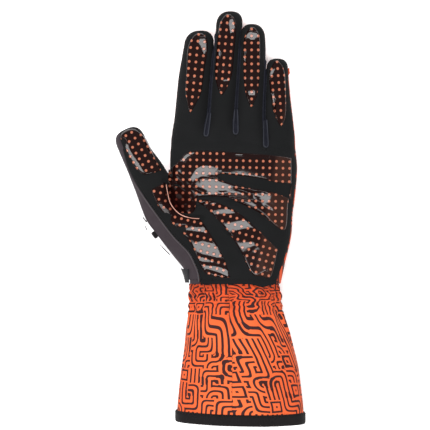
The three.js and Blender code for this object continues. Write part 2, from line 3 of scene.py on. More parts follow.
import bpy
import numpy as np
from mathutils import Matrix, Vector


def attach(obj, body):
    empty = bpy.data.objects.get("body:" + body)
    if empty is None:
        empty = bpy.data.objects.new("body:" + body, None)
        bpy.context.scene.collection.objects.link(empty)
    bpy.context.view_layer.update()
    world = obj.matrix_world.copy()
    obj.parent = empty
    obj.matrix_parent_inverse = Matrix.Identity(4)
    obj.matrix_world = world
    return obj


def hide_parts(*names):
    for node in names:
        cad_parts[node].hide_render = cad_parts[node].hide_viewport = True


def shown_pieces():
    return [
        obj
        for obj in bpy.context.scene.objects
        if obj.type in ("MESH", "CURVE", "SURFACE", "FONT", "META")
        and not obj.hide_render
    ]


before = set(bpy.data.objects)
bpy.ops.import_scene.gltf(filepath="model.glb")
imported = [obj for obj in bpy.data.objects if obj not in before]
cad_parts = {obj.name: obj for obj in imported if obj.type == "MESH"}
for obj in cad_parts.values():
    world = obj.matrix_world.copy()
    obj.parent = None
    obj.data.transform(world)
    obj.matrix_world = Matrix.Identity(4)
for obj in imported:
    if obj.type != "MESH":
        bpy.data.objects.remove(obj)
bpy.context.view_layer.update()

# Sizes in millimetres, as in the part's source. Lengths are measured from the middle of the wrist line.
HAND = 199.0
BREADTH = 93.0
DEPTH = 32.0
CUFF = 104.0
WALL = 1.6
ORIGIN = (16.89, -46.95)

# Sections of the hand: along, left, right, low, high
TRUNK = [
    (0.0, -0.372, 0.368, 0.08, 1.06),
    (0.07, -0.395, 0.4, 0.07, 1.06),
    (0.17, -0.455, 0.449, 0.0, 1.04),
    (0.25, -0.488, 0.461, -0.03, 0.98),
    (0.3, -0.497, 0.476, -0.03, 0.965),
    (0.38, -0.502, 0.493, -0.03, 1.02),
    (0.43, -0.502, 0.496, -0.03, 1.03),
    (0.48, -0.5, 0.489, -0.03, 0.95),
    (0.54, -0.49, 0.478, -0.03, 0.78),
    (0.66, -0.46, 0.46, -0.03, 0.66),
]
# Sections of each finger: along, centre, half width, low, high
FINGERS = {
    "index": (0.054, [
        (0.42, -0.354, 0.137, -0.03, 0.86),
        (0.538, -0.354, 0.135, -0.03, 0.78),
        (0.61, -0.337, 0.131, -0.03, 0.68),
        (0.75, -0.31, 0.128, -0.02, 0.63),
        (0.83, -0.289, 0.121, 0.0, 0.61),
        (0.875, -0.277, 0.116, 0.03, 0.59),
    ]),
    "middle": (0.05, [
        (0.42, -0.108, 0.122, -0.03, 0.88),
        (0.538, -0.104, 0.119, -0.03, 0.8),
        (0.61, -0.094, 0.102, -0.03, 0.7),
        (0.75, -0.073, 0.1, -0.02, 0.65),
        (0.88, -0.051, 0.098, 0.0, 0.62),
        (0.95, -0.037, 0.104, 0.03, 0.6),
    ]),
    "ring": (0.053, [
        (0.42, 0.133, 0.12, -0.03, 0.88),
        (0.53, 0.13, 0.118, -0.03, 0.79),
        (0.61, 0.125, 0.106, -0.03, 0.68),
        (0.75, 0.139, 0.103, -0.02, 0.63),
        (0.85, 0.15, 0.1, 0.0, 0.61),
        (0.9, 0.147, 0.1, 0.03, 0.59),
    ]),
    "little": (0.036, [
        (0.4, 0.37, 0.12, -0.03, 0.86),
        (0.49, 0.366, 0.117, -0.03, 0.76),
        (0.54, 0.364, 0.116, -0.03, 0.66),
        (0.605, 0.353, 0.112, -0.03, 0.61),
        (0.7, 0.344, 0.098, -0.01, 0.56),
        (0.79, 0.342, 0.084, 0.03, 0.53),
    ]),
}
# Sections of the thumb, from the wrist outward: along, centre, half width, low, high
THUMB_TIP = 0.062
THUMB = [
    (-0.03, -0.17, 0.203, 0.08, 1.06),
    (0.035, -0.2, 0.195, 0.07, 1.06),
    (0.1, -0.275, 0.166, 0.04, 1.07),
    (0.16, -0.375, 0.175, 0.02, 1.09),
    (0.215, -0.458, 0.205, 0.0, 1.1),
    (0.245, -0.497, 0.222, 0.01, 1.08),
    (0.276, -0.536, 0.217, 0.02, 1.06),
    (0.349, -0.623, 0.158, 0.07, 1.0),
    (0.412, -0.693, 0.138, 0.12, 0.93),
    (0.46, -0.751, 0.123, 0.16, 0.87),
    (0.508, -0.8, 0.118, 0.2, 0.82),
]
# Sections of the cuff down to the hem: along, left, right, low, high
GAUNTLET = [
    (0.03, -0.352, 0.347, 0.14, 0.99),
    (0.0, -0.352, 0.347, 0.13, 0.99),
    (-0.12, -0.338, 0.352, 0.08, 1.02),
    (-0.25, -0.366, 0.392, 0.05, 1.1),
    (-0.4, -0.383, 0.45, 0.05, 1.2),
    (-0.6, -0.415, 0.505, 0.05, 1.3),
    (-0.8, -0.44, 0.532, 0.05, 1.37),
    (-0.889, -0.447, 0.538, 0.05, 1.39),
    (-0.965, -0.449, 0.54, 0.05, 1.4),
]
# How full each outline is: 2 is an ellipse, and more is squarer
TRUNK_FULLNESS = 2.6
LIMB_FULLNESS = 2.3
TIP_FULLNESS = 2.4
THUMB_FULLNESS = 2.4
THUMB_TIP_FULLNESS = 2.9
CUFF_FULLNESS = 2.2
STEEP = 2.5  # drop of a surface for each mm past its section's edge
STEEP_TIP = 3.0  # the same past the thumb's tip
JOIN = 5.0  # mm over which the thumb and the palm are rounded together
JOIN_END = 92.0  # mm along the hand past which the thumb stands free
THUMB_SIDE = -48.0  # mm across, outward of which only the thumb reaches past JOIN_END
LITTLE_START = 80.0  # mm along from which the little finger's section holds
SIDE_TURN, SIDE_TURN_OVER = 86.0, 16.0  # mm along where the palm's side starts to turn into that finger's, and over
ROOT_BELOW, ROOT_OVER = 4.0, 16.0  # mm below the root line where the fingers' sections start to count, and over
VALLEY_FADE = 6.0  # mm over which the line between two fingers turns from their slot to halfway between them
FAR = 1e9  # squared distance past any in the glove
FLOOR_GAP, FLOOR_SOFT = 0.05, 1.2  # mm that cloth lies above the floor, and mm over which it levels off there
# Where each pair of fingers parts: across, along, in mm
CROTCH = [(-20.7, 106.6), (1.3, 107.7), (23.2, 98.0)]
# Line where the fingers begin: across, along, in mm
ROOT_LINE = ([-46.0, -20.7, 1.3, 23.2, 46.0], [104.0, 106.6, 107.7, 98.0, 94.0])

# Edge of the suede toward the little finger, and the seams down the thumb side: across and along, in shares
PALM_RIGHT = [
    (0.332, -0.01), (0.34, 0.02), (0.391, 0.085), (0.441, 0.163), (0.46, 0.205), (0.482, 0.27),
    (0.494, 0.33), (0.497, 0.41), (0.488, 0.49), (0.479, 0.53), (0.473, 0.56),
]
SUEDE_EDGE = [
    (-0.266, -0.012), (-0.276, 0.033), (-0.303, 0.068), (-0.348, 0.11), (-0.412, 0.142), (-0.48, 0.176),
    (-0.61, 0.256), (-0.712, 0.323), (-0.783, 0.376), (-0.837, 0.431), (-0.88, 0.506), (-0.894, 0.53),
]
CHARCOAL_EDGE = [
    (-0.35, -0.012), (-0.35, 0.015), (-0.395, 0.052), (-0.471, 0.096), (-0.542, 0.139), (-0.62, 0.187),
    (-0.688, 0.231), (-0.735, 0.285), (-0.777, 0.338), (-0.83, 0.385), (-0.925, 0.47), (-0.935, 0.53),
]
# Creases of the palm side: points across and along in shares, then depth and half width in mm
CREASES = [
    ([(-0.54, 0.375), (-0.5, 0.34), (-0.47, 0.3), (-0.42, 0.268), (-0.33, 0.245), (-0.25, 0.238)], 2.6, 1.5),
    ([(-0.487, 0.328), (-0.425, 0.282)], 7.0, 5.6),
    ([(-0.42, 0.508), (-0.15, 0.52), (0.1, 0.515), (0.42, 0.485)], 1.2, 3.0),
    ([(-0.22, 0.07), (0.3, 0.05)], 0.8, 5.0),
    ([(-0.36, 0.36), (-0.27, 0.392), (-0.17, 0.385), (-0.1, 0.38)], 0.9, 1.1),
    ([(-0.2, 0.3), (-0.1, 0.336), (0.04, 0.338), (0.18, 0.305), (0.27, 0.27)], 1.0, 1.3),
    ([(-0.35, 0.262), (-0.2, 0.285), (0.0, 0.295), (0.13, 0.276), (0.24, 0.24)], 1.2, 1.4),
    ([(0.27, 0.27), (0.33, 0.3), (0.42, 0.31)], 0.6, 1.4),
    ([(-0.33, 0.3), (-0.22, 0.312), (-0.08, 0.302), (0.06, 0.285)], 0.9, 0.9),
    ([(-0.3, 0.278), (-0.18, 0.298), (-0.02, 0.317), (0.12, 0.308), (0.2, 0.29)], 0.9, 0.9),
    ([(-0.1, 0.352), (0.04, 0.345), (0.14, 0.328), (0.22, 0.332)], 0.8, 0.9),
    ([(0.1, 0.34), (0.2, 0.3), (0.24, 0.262)], 0.8, 1.0),
    ([(-0.44, 0.4), (-0.3, 0.345), (-0.2, 0.33)], 0.8, 1.0),
    ([(-0.42, 0.73), (-0.2, 0.735)], 0.5, 2.6),
    ([(-0.17, 0.77), (0.03, 0.772)], 0.5, 2.6),
    ([(0.04, 0.74), (0.24, 0.737)], 0.5, 2.6),
    ([(0.26, 0.675), (0.42, 0.668)], 0.45, 2.4),
    ([(-0.78, 0.42), (-0.64, 0.44)], 0.5, 2.4),
]
# Flats of the slack silicone that lie turned to the long softbox: corners across and along, in mm
FLATS = [
    [
        (-27.8, 82.4), (-23.6, 86.1), (-15.8, 86.1), (-10.8, 81.1), (-12.7, 78.2), (-23.2, 77.4), (-31.1, 73),
        (-33.3, 75.8),
    ],
    [
        (-25.8, 75.8), (-10.8, 76.1), (3, 69.9), (-1.6, 67.3), (-8.8, 65.6), (-14.7, 63.5), (-20.2, 63.8),
        (-21.8, 69.3), (-24.1, 72.6),
    ],
    [(20, 65.4), (30.5, 64.7), (27.5, 58.8), (24.6, 55.9), (18.8, 54.2), (19.4, 58.8), (15.4, 63.4)],
    [(-10.1, 66.4), (1, 68), (7.6, 65.6), (14.1, 62.7), (-1.6, 64.7), (-10.8, 64.7)],
    [(1, 61.4), (11.5, 60.1), (17.4, 55.5), (15.4, 54.9), (7.6, 58.2)],
    [(-17.6, 51.2), (-2.3, 55.5), (4.5, 50.3), (-1, 49.4), (-13.4, 48.7)],
    [(-13.4, 43.7), (-8.2, 45.1), (8.2, 47.9), (14.4, 39.8), (7.6, 37.6), (-3.6, 35), (-8.2, 39.2)],
    [(-2.3, 31.7), (14.8, 31), (15.2, 26.7), (6.5, 20.6), (3.6, 22.8)],
    [(-41.9, 41.6), (-22.4, 42.4), (-17.6, 37.9), (-27.8, 36.1), (-38.8, 37.1)],
    [(-32.4, 32.6), (-14.7, 31.7), (-7.1, 17.1), (-10.8, 16.6), (-28.5, 21.5)],
    [(-25.2, 14.9), (-14.7, 13.6), (-4.9, 10.3), (-3.3, 4), (-10.8, 7.1), (-23.6, 11)],
    [(-56.8, 58.8), (-52.6, 58.6), (-49.0, 55.3), (-45.4, 49.6), (-46.5, 44.8), (-50.8, 48.8), (-54.8, 54.0)],
    [(-39.5, 88.2), (-37, 92.6), (-33, 95.6), (-28.2, 96.6), (-28.4, 94.2), (-33.2, 91.4), (-36, 87.8)],
    [(-1.8, 95.2), (8.9, 94.5), (8.2, 92.4), (3, 92.2), (-1, 92.9)],
    [(18.5, 93.9), (31.2, 93.2), (29, 90.9), (22, 91.3)],
    [(29.8, 75.2), (33.1, 76.9), (36.4, 74.5), (32.5, 73.7)],
    [(-25.8, 179.5), (-19.7, 179.7), (-19.4, 168.6), (-22.3, 163.1), (-24.1, 167.3), (-26, 175.1)],
    [(-3.7, 193), (-0.6, 194.3), (1.8, 192.8), (1.7, 186.9), (-1.1, 179.7), (-3.4, 177.5), (-4.5, 185.6)],
    [(-11.4, 173.8), (-8.8, 172.3), (-9.5, 160.7), (-11.3, 162)],
    [(-9.1, 148.9), (-3.2, 150.2), (-3.7, 146.1), (-7.9, 145)],
    [(7.6, 180.9), (11.5, 184.3), (17.8, 183), (18.3, 180.9), (15.2, 175.8), (13.2, 174.4), (10.4, 177.1)],
    [(6.6, 173.2), (8.9, 172.3), (9.1, 158.1), (7.3, 159.4)],
    [(9.9, 142.1), (15.7, 142.4), (15.4, 135.2), (10.2, 135.8)],
    [(25.4, 156.3), (30.5, 157.6), (29.8, 154.2), (27.9, 148.3), (26, 145)],
    [(26.6, 141.1), (28.8, 140.4), (30.5, 133.2), (29.8, 124.7), (27.7, 129.3)],
]
# Rise of a flat toward the fingertips that turns it to the softbox: at the wrist, and more for each mm along
FLAT_SLOPE = (0.088, 0.00052)
# Flats turned away from the softbox, so dark
DARK_FLATS = [
    [(4.4, 19.2), (8.9, 21.1), (17.4, 25.8), (21.3, 20.8), (24.6, 9), (13.5, 4.4)],
]
# Flats on the thumb's flank, turned to the small softbox at the left
SIDE_FLATS = [
    [
        (-81.8, 106.2), (-79.6, 105.6), (-76.0, 98.8), (-71.4, 91.8), (-67.8, 87.4), (-64.4, 81.2),
        (-65.2, 78.8), (-68.6, 80.8), (-74.2, 87.6), (-79.2, 95.4), (-82.2, 102.0),
    ],
]
SIDE_SLOPE = (0.5, 0.06)  # rise of a side flat across and along the hand
FLAT_EDGE = 1.0  # width over which the silicone turns into a flat
FLAT_SINK = 0.5  # how far a flat's middle lies under the slack surface
FLAT_REACH = (-2.4, 1.6)  # farthest that a flat sinks and lifts the silicone
FLAT_TILT = 0.09  # steepest rise across that a flat takes over from the silicone under it
FLAT_STEP = 2.0  # mm either side of a flat's middle over which that rise is taken


def smooth(t):
    """Rises from 0 to 1 as t goes from 0 to 1, flat at both ends: 3t squared less 2t cubed."""
    t = np.clip(t, 0.0, 1.0)
    return t * t * (3.0 - 2.0 * t)


def through(points, count):
    """Catmull-Rom curve through a table's rows, sampled evenly by row: one array per column."""
    p = np.array(points, float)
    t = np.linspace(0, len(p) - 1, count)
    i = np.minimum(t.astype(int), len(p) - 2)
    f = (t - i)[:, None]
    a, b = p[np.maximum(i - 1, 0)], p[i]
    c, d = p[i + 1], p[np.minimum(i + 2, len(p) - 1)]
    return (b + 0.5 * f * (c - a + f * (2 * a - 5 * b + 4 * c - d + f * (3 * (b - c) + d - a)))).T


def plan_line(points, count):
    """Catmull-Rom curve through points across and along in shares, as two arrays in mm."""
    across, along = through(points, count)
    return across * BREADTH, along * HAND


def evened(points, times):
    """Rows of points evened a number of times: a quarter of the row before, half of its own, a quarter of the next."""
    points = points.copy()
    for _ in range(times):
        points[1:-1] = (points[:-2] + 2 * points[1:-1] + points[2:]) / 4
    return points


def unit(vectors):
    """Rows of vectors, each over its length."""
    return vectors / np.linalg.norm(vectors, axis=1)[:, None]


def piece_distance(x, y, start, end):
    """Squared distance in plan of each point from the straight piece between two points."""
    (ax, ay), (dx, dy) = start, (end[0] - start[0], end[1] - start[1])
    t = np.clip(((x - ax) * dx + (y - ay) * dy) / max(dx * dx + dy * dy, 1e-9), 0, 1)
    return (x - ax - t * dx) ** 2 + (y - ay - t * dy) ** 2


def soft_max(a, b, k):
    """The larger of a and b, rounded where they are closer than k: adds (k - |a - b|) squared over 4k."""
    return np.maximum(a, b) + np.maximum(k - np.abs(a - b), 0.0) ** 2 / (4.0 * k)


def bulge(share, fullness):
    """Height share of a rounded section at a share of its half width: (1 - |share|^n)^(1/n)."""
    return np.clip(1.0 - np.abs(np.clip(share, -1, 1)) ** fullness, 0.0, 1.0) ** (1.0 / fullness)


def spread(angle, fullness):
    """Signed share of the half width at an angle round the section: cos to the power 2/n."""
    c = np.cos(angle)
    return np.sign(c) * np.abs(c) ** (2.0 / fullness)


class Finger:
    """A finger's section as a function of its distance along the hand, with its round tip."""

    def __init__(self, tip, rows):
        along, centre, half, low, high = through(rows, 160)
        self.y, self.centre, self.half = along * HAND, centre * BREADTH, half * BREADTH
        self.mid, self.tall = (low + high) / 2 * DEPTH, (high - low) / 2 * DEPTH
        self.end, self.reach = rows[-1][0] * HAND, tip * HAND
        self.slope = (self.centre[-1] - self.centre[-20]) / (self.y[-1] - self.y[-20])

    def section(self, y):
        """Centre, half width, middle height and half height at y; past the last row the tip's scale (1 - u^m)^(1/m)."""
        u = np.clip((y - self.end) / self.reach, 0.0, 1.0)
        scale = (1.0 - u**TIP_FULLNESS) ** (1.0 / TIP_FULLNESS)
        centre = np.interp(y, self.y, self.centre) + np.maximum(y - self.end, 0.0) * self.slope
        half = np.interp(y, self.y, self.half) * scale
        return centre, half, np.interp(y, self.y, self.mid), np.interp(y, self.y, self.tall) * scale

    def height(self, x, y, side):
        """Surface height over a plan point: middle plus or minus the half height times the section's bulge."""
        centre, half, mid, tall = self.section(y)
        return mid + side * tall * bulge((x - centre) / np.maximum(half, 1e-6), LIMB_FULLNESS)


fingers = [Finger(*FINGERS[n]) for n in ("index", "middle", "ring", "little")]
t_along, t_left, t_right, t_low, t_high = through(TRUNK, 240)


def trunk_height(x, y, side):
    """Height of the palm's rounded section over a plan point, dropping steeply past its edges."""
    at = y / HAND
    left, right = np.interp(at, t_along, t_left) * BREADTH, np.interp(at, t_along, t_right) * BREADTH
    low, high = np.interp(at, t_along, t_low) * DEPTH, np.interp(at, t_along, t_high) * DEPTH
    share = (x - (left + right) / 2) / ((right - left) / 2)
    z = (low + high) / 2 + side * (high - low) / 2 * bulge(share, TRUNK_FULLNESS)
    return z - side * np.maximum(np.abs(share) - 1.0, 0.0) * (right - left) / 2 * STEEP


def trunk_side(y, right):
    """Plan edge of the palm's section at y."""
    column = t_right if right else t_left
    return np.interp(y / HAND, t_along, column) * BREADTH


# The thumb's path in plan, its direction evened out, and its section along it
thumb_along, thumb_across, thumb_width, thumb_low, thumb_high = through(THUMB, 260)
thumb_path = np.stack([thumb_across * BREADTH, thumb_along * HAND], 1)
thumb_way = unit(evened(unit(np.gradient(thumb_path, axis=0)), 12))
thumb_half, thumb_mid = thumb_width * BREADTH, (thumb_low + thumb_high) / 2 * DEPTH
thumb_tall = (thumb_high - thumb_low) / 2 * DEPTH
THUMB_STEPS = len(thumb_half) - 1
THUMB_REACH = THUMB_TIP * HAND


def thumb_plan(s, share):
    """Plan point at place s along the thumb, past 1 in the tip, and at a share of its half width to the left."""
    at = np.clip(s, 0.0, 1.0) * THUMB_STEPS
    pick = lambda a: np.interp(at, np.arange(THUMB_STEPS + 1), a)
    u = np.clip(s - 1.0, 0.0, 1.0)
    scale = np.cos(u * math.pi / 2) ** (2 / THUMB_TIP_FULLNESS)
    forward = THUMB_REACH * np.sin(u * math.pi / 2) ** (2 / THUMB_TIP_FULLNESS)
    wx, wy = pick(thumb_way[:, 0]), pick(thumb_way[:, 1])
    out = share * pick(thumb_half) * scale
    x = pick(thumb_path[:, 0]) - wy * out + wx * forward
    y = pick(thumb_path[:, 1]) + wx * out + wy * forward
    return x, y, pick(thumb_mid), pick(thumb_tall) * scale


def thumb_place(x, y):
    """Place along the thumb, and signed share of its half width, of each plan point: the nearest point of its path."""
    flat = np.stack([np.ravel(x), np.ravel(y)], 1)
    away = ((flat[:, None, :] - thumb_path[None, ::4, :]) ** 2).sum(2)
    near = np.clip(away.argmin(1) * 4, 0, THUMB_STEPS)
    for _ in range(3):
        step = ((flat - thumb_path[near]) * thumb_way[near]).sum(1)
        near = np.clip(near + np.round(step / 0.65).astype(int), 0, THUMB_STEPS)
    off = flat - thumb_path[near]
    forward = (off * thumb_way[near]).sum(1)
    side = -off[:, 0] * thumb_way[near, 1] + off[:, 1] * thumb_way[near, 0]
    u = np.where(near == THUMB_STEPS, np.clip(forward / THUMB_REACH, 0.0, 1.0), 0.0)
    scale = np.maximum((1.0 - u**THUMB_TIP_FULLNESS) ** (1 / THUMB_TIP_FULLNESS), 1e-3)
    share = side / (thumb_half[near] * scale)
    past = np.where(near == THUMB_STEPS, np.maximum(forward - THUMB_REACH, 0.0), 0.0)
    shape = np.shape(x)
    return near.reshape(shape), share.reshape(shape), scale.reshape(shape), past.reshape(shape)


def thumb_height(x, y, side):
    """Height of the thumb's rounded section over a plan point, dropping steeply past its edges."""
    near, share, scale, past = thumb_place(x, y)
    z = thumb_mid[near] + side * thumb_tall[near] * scale * bulge(share, THUMB_FULLNESS)
    return z - side * (np.maximum(np.abs(share) - 1.0, 0.0) * thumb_half[near] * STEEP + past * STEEP_TIP)


crease_lines = []
for points, depth, wide in CREASES:
    line = through(points, 12 * len(points)) if len(points) > 2 else np.array(points, float).T
    line = list(zip(line[0] * BREADTH, line[1] * HAND))
    crease_lines.append((line, depth, wide))


def crease_depth(x, y):
    """Depth of the creases: for each, its depth times exp(-(distance / half width) squared), faded at its ends."""
    total = np.zeros(np.shape(x))
    for line, depth, wide in crease_lines:
        best = np.full(np.shape(x), FAR)
        for start, end in zip(line, line[1:]):
            best = np.minimum(best, piece_distance(x, y, start, end))
        total += depth * np.exp(-best / wide**2)
    return total


def ripple(x, y):
    """Slack of the cloth in mm: 0.1 sin(0.21x + 0.13y) and two finer waves like it, each slanted another way."""
    return (
        0.1 * np.sin(0.21 * x + 0.13 * y + 0.8)
        + 0.08 * np.sin(-0.17 * x + 0.29 * y + 2.0)
        + 0.05 * np.sin(0.43 * x - 0.19 * y + 4.1)
    )


def side_line(y):
    """Plan edge of the hand toward the little finger: the palm's side, turning into the finger's at its root."""
    centre, half, _, _ = fingers[3].section(np.maximum(y, LITTLE_START))
    share = smooth((y - SIDE_TURN) / SIDE_TURN_OVER)
    return (1 - share) * trunk_side(y, True) + share * (centre + half)


def valley(k, y):
    """Plan line between fingers k and k + 1: halfway between their sides, and straight below where they part."""
    top = np.maximum(y, CROTCH[k][1])
    c0, h0, _, _ = fingers[k].section(top)
    c1, h1, _, _ = fingers[k + 1].section(top)
    middle = (c0 + h0 + c1 - h1) / 2
    return middle + (CROTCH[k][0] - middle) * np.exp(-np.maximum(y - CROTCH[k][1], 0.0) / VALLEY_FADE)


def root_share(x, y):
    """0 on the palm, 1 on the fingers, rising smoothly from just below where the fingers part."""
    return smooth((y - np.interp(x, *ROOT_LINE) + ROOT_BELOW) / ROOT_OVER)


def bare_height(x, y, side):
    """Height of the whole hand over a plan point: palm and fingers mixed by root_share, thumb joined on softly."""
    which = sum((x > valley(k, y)).astype(int) for k in range(3))
    finger = np.choose(which, [f.height(x, y, side) for f in fingers])
    share = root_share(x, y)
    z = (1 - share) * trunk_height(x, y, side) + share * finger
    thumb = thumb_height(x, y, side)
    joined = side * soft_max(side * z, side * thumb, JOIN)
    z = np.where(y < JOIN_END, joined, z)
    z = np.where((y >= JOIN_END) & (x < THUMB_SIDE), thumb, z)
    return z - crease_depth(x, y) + ripple(x, y) if side > 0 else z


# Plane of each flat: its corners, its middle across and along, the height there, and its rise across and along
flat_planes = []
for corners in FLATS + SIDE_FLATS + DARK_FLATS:
    fx, fy = np.array(corners).mean(0)
    ends = bare_height(np.array([fx - FLAT_STEP, fx, fx + FLAT_STEP]), np.full(3, fy), 1)
    across = float(np.clip((ends[2] - ends[0]) / (2 * FLAT_STEP), -FLAT_TILT, FLAT_TILT))
    along, level = 0.0, float(ends[1])
    if corners in FLATS:
        along, level = FLAT_SLOPE[0] + FLAT_SLOPE[1] * fy, level - FLAT_SINK
    if corners in SIDE_FLATS:
        across, along = SIDE_SLOPE
    flat_planes.append((corners, fx, fy, level, across, along))


def inside(x, y, corners):
    """1 inside a polygon and 0 outside it, rising over FLAT_EDGE by the distance from its nearest side."""
    near, within = np.full(np.shape(x), FAR), np.zeros(np.shape(x), bool)
    for (ax, ay), (bx, by) in zip(corners, corners[1:] + corners[:1]):
        near = np.minimum(near, piece_distance(x, y, (ax, ay), (bx, by)))
        if by != ay:
            within ^= ((ay > y) != (by > y)) & (x < ax + (y - ay) * (bx - ax) / (by - ay))
    return smooth(0.5 + np.where(within, 1, -1) * np.sqrt(near) / FLAT_EDGE)


def hand_height(x, y, side):
    """Height over a plan point: the bare height, turned within each flat into the flat's own plane."""
    x, y = np.broadcast_arrays(np.asarray(x, float), np.asarray(y, float))
    z = bare_height(x, y, side)
    if side < 0:
        return rest_on_floor(z)
    z = np.array(z, float)
    for corners, fx, fy, level, across, along in flat_planes:
        low, high = np.min(corners, 0) - FLAT_EDGE, np.max(corners, 0) + FLAT_EDGE
        near = (x > low[0]) & (x < high[0]) & (y > low[1]) & (y < high[1])
        if near.any():
            px, py = x[near], y[near]
            share = inside(px, py, corners)
            change = level + across * (px - fx) + along * (py - fy) - z[near]
            z[near] += share * np.clip(change, *FLAT_REACH)
    return z


def side_height(x, y):
    """Height of the edge between palm and back: halfway between the two sides."""
    return (hand_height(x, y, 1) + hand_height(x, y, -1)) / 2


def rest_on_floor(z):
    """Cloth pressed flat: heights under about FLOOR_SOFT level off to FLOOR_GAP."""
    return FLOOR_GAP + soft_max(z - FLOOR_GAP, np.zeros_like(z), FLOOR_SOFT)


UP, DOWN = (0.0, 0.0, 1.0), (0.0, 0.0, -1.0)
# Looks of this script alone, and the record's slot that each belongs to
RECORD_SLOTS = {
    "navy_piping_highlight": "navy_stretch", "silicone_lip_highlight": "silicone",
    "white_plain": "white_stretch", "charcoal_seam": "charcoal_stretch",
}


def grid_faces(rows, columns, closed=False):
    """Quads of a grid of rows by columns, its columns joined round if closed."""
    r, c = np.meshgrid(np.arange(rows - 1), np.arange(columns if closed else columns - 1), indexing="ij")
    d = (c + 1) % columns
    here, above = r * columns, (r + 1) * columns
    return np.stack([here + c, here + d, above + d, above + c], 2).reshape(-1, 4)


def make(name, grids, slot, nodes=(), closed=(), out=UP, thick=0.0, uv=None):
    """Mesh from grids of points in mm, joined where points meet, its faces turned to out; thick adds an inner wall.
    A quad with two corners in one point becomes a triangle, and one with fewer than three points is left out."""
    points, faces, uvs, start = [], [], [], 0
    for i, g in enumerate(grids):
        rows, columns, _ = g.shape
        flat = g.reshape(-1, 3)
        quads = grid_faces(rows, columns, i in closed)
        normal = np.cross(flat[quads[:, 2]] - flat[quads[:, 0]], flat[quads[:, 3]] - flat[quads[:, 1]])
        way = out(flat[quads].mean(1)) if callable(out) else np.array(out)
        if (normal * way).sum() < 0:
            quads = quads[:, ::-1]
        points.append(flat)
        faces.append(quads + start)
        uvs.append(uv[i].reshape(-1, 2) if uv is not None else g[..., :2].reshape(-1, 2))
        start += rows * columns
    p, f, t = np.concatenate(points), np.concatenate(faces), np.concatenate(uvs)
    if uv is None:
        _, first, back = np.unique(np.round(p, 3), axis=0, return_index=True, return_inverse=True)
        p, t, f = p[first], t[first], back.reshape(-1)[f]
    p = (p + [ORIGIN[0], ORIGIN[1], 0.0]) / 1000.0
    mesh = bpy.data.meshes.new(name)
    same = (f == np.roll(f, -1, axis=1)).sum(1)
    quads, tris = f[same == 0], f[same == 1]
    tris = np.concatenate([
        np.delete(tris[tris[:, row] == tris[:, (row + 1) % 4]], row, axis=1) for row in range(4)
    ])
    mesh.from_pydata(p.tolist(), [], quads.tolist() + tris.tolist())
    layer = mesh.uv_layers.new(name="plan")
    loops = np.zeros(len(mesh.loops), np.int32)
    mesh.loops.foreach_get("vertex_index", loops)
    layer.data.foreach_set("uv", t[loops].astype(np.float32).ravel())
    mesh.shade_smooth()
    mesh.validate()
    obj = bpy.data.objects.new(name, mesh)
    bpy.context.collection.objects.link(obj)
    if thick:
        solid = obj.modifiers.new("wall", "SOLIDIFY")
        solid.thickness = thick / 1000.0
        solid.offset = -1.0
        solid.use_even_offset = False
    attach(obj, "root")
    RECORD_SLOTS.get(slot, slot)
    obj["look"] = slot
    if nodes:
        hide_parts(*nodes)
    return obj


def stack(x, y, z):
    """Grid of points from arrays of their coordinates."""
    return np.stack(np.broadcast_arrays(x, y, z), 2)


SLOT = 1.1  # half width of the slot where two fingers part
SLOT_OVER = 5.0  # mm above the slot's round end over which a panel's edge turns into its free edge
SLOT_CLEAR = 0.45  # least distance of a front panel's free edge from the line between two fingers
BACK_CLEAR = 0.03  # the same of a back panel's edge
INSET = 0.75  # how far a front panel's edge lies inside the finger's widest point
LOOP_INSET, LOOP_UP, LOOP_WIDE = 1.25, 7.0, 8.0  # what the U adds to it: at most, how far above the parting, how broad
TIP_FADE, TIP_OVER = 2.0, 12.0  # mm past a finger's last section where the inset has closed, and over how many
LITTLE_INSET, LITTLE_OVER = 0.4, 10.0  # inset toward the outer side of the little finger, and mm over which it closes


def valley_inset(k, y, i):
    """Inset of finger i's front panel beside slot k: INSET and the U's bell-shaped addition, closed before the tip."""
    loop = LOOP_INSET * np.exp(-(((y - CROTCH[k][1] - LOOP_UP) / LOOP_WIDE) ** 2))
    return (INSET + loop) * smooth((fingers[i].end + TIP_FADE - y) / TIP_OVER)


def edge_by_slot(k, y, i, edge, sign):
    """Edge of finger i's front panel beside slot k, to the right of it for sign 1: a half circle where the fingers
    part, mixed into the finger's own edge less its inset."""
    top = CROTCH[k][1] + SLOT
    round_end = np.where(y > top, SLOT, np.sqrt(np.clip(SLOT**2 - (top - y) ** 2, 0.0, None)))
    farther = np.maximum if sign > 0 else np.minimum
    free = farther(edge + sign * valley_inset(k, y, i), valley(k, y) + sign * SLOT_CLEAR)
    share = smooth((y - CROTCH[k][1] - SLOT) / SLOT_OVER)
    return (1 - share) * (valley(k, y) + sign * round_end) + share * free


def finger_edges(i, y, side=1):
    """Plan edges of finger i's panel at y: its sides less the inset, meeting on a half circle where it parts.
    On the back the panels of neighbouring fingers all but touch."""
    centre, half, _, _ = fingers[i].section(y)
    left, right = centre - half, centre + half
    if side < 0:
        if i > 0:
            left = np.maximum(left, valley(i - 1, y) + BACK_CLEAR)
        right = np.minimum(right, valley(i, y) - BACK_CLEAR) if i < 3 else side_line(y)
        return left, right
    if i > 0:
        left = edge_by_slot(i - 1, y, i, left, 1)
    if i < 3:
        right = edge_by_slot(i, y, i, right, -1)
    else:
        right = right - LITTLE_INSET * smooth((fingers[3].end - y) / LITTLE_OVER)
    return left, right


ROOT_INSET = 0.8  # how far the suede lies inside the hand's side at the root of the little finger
SUEDE_INSET = 0.75  # the least that it does so down the palm


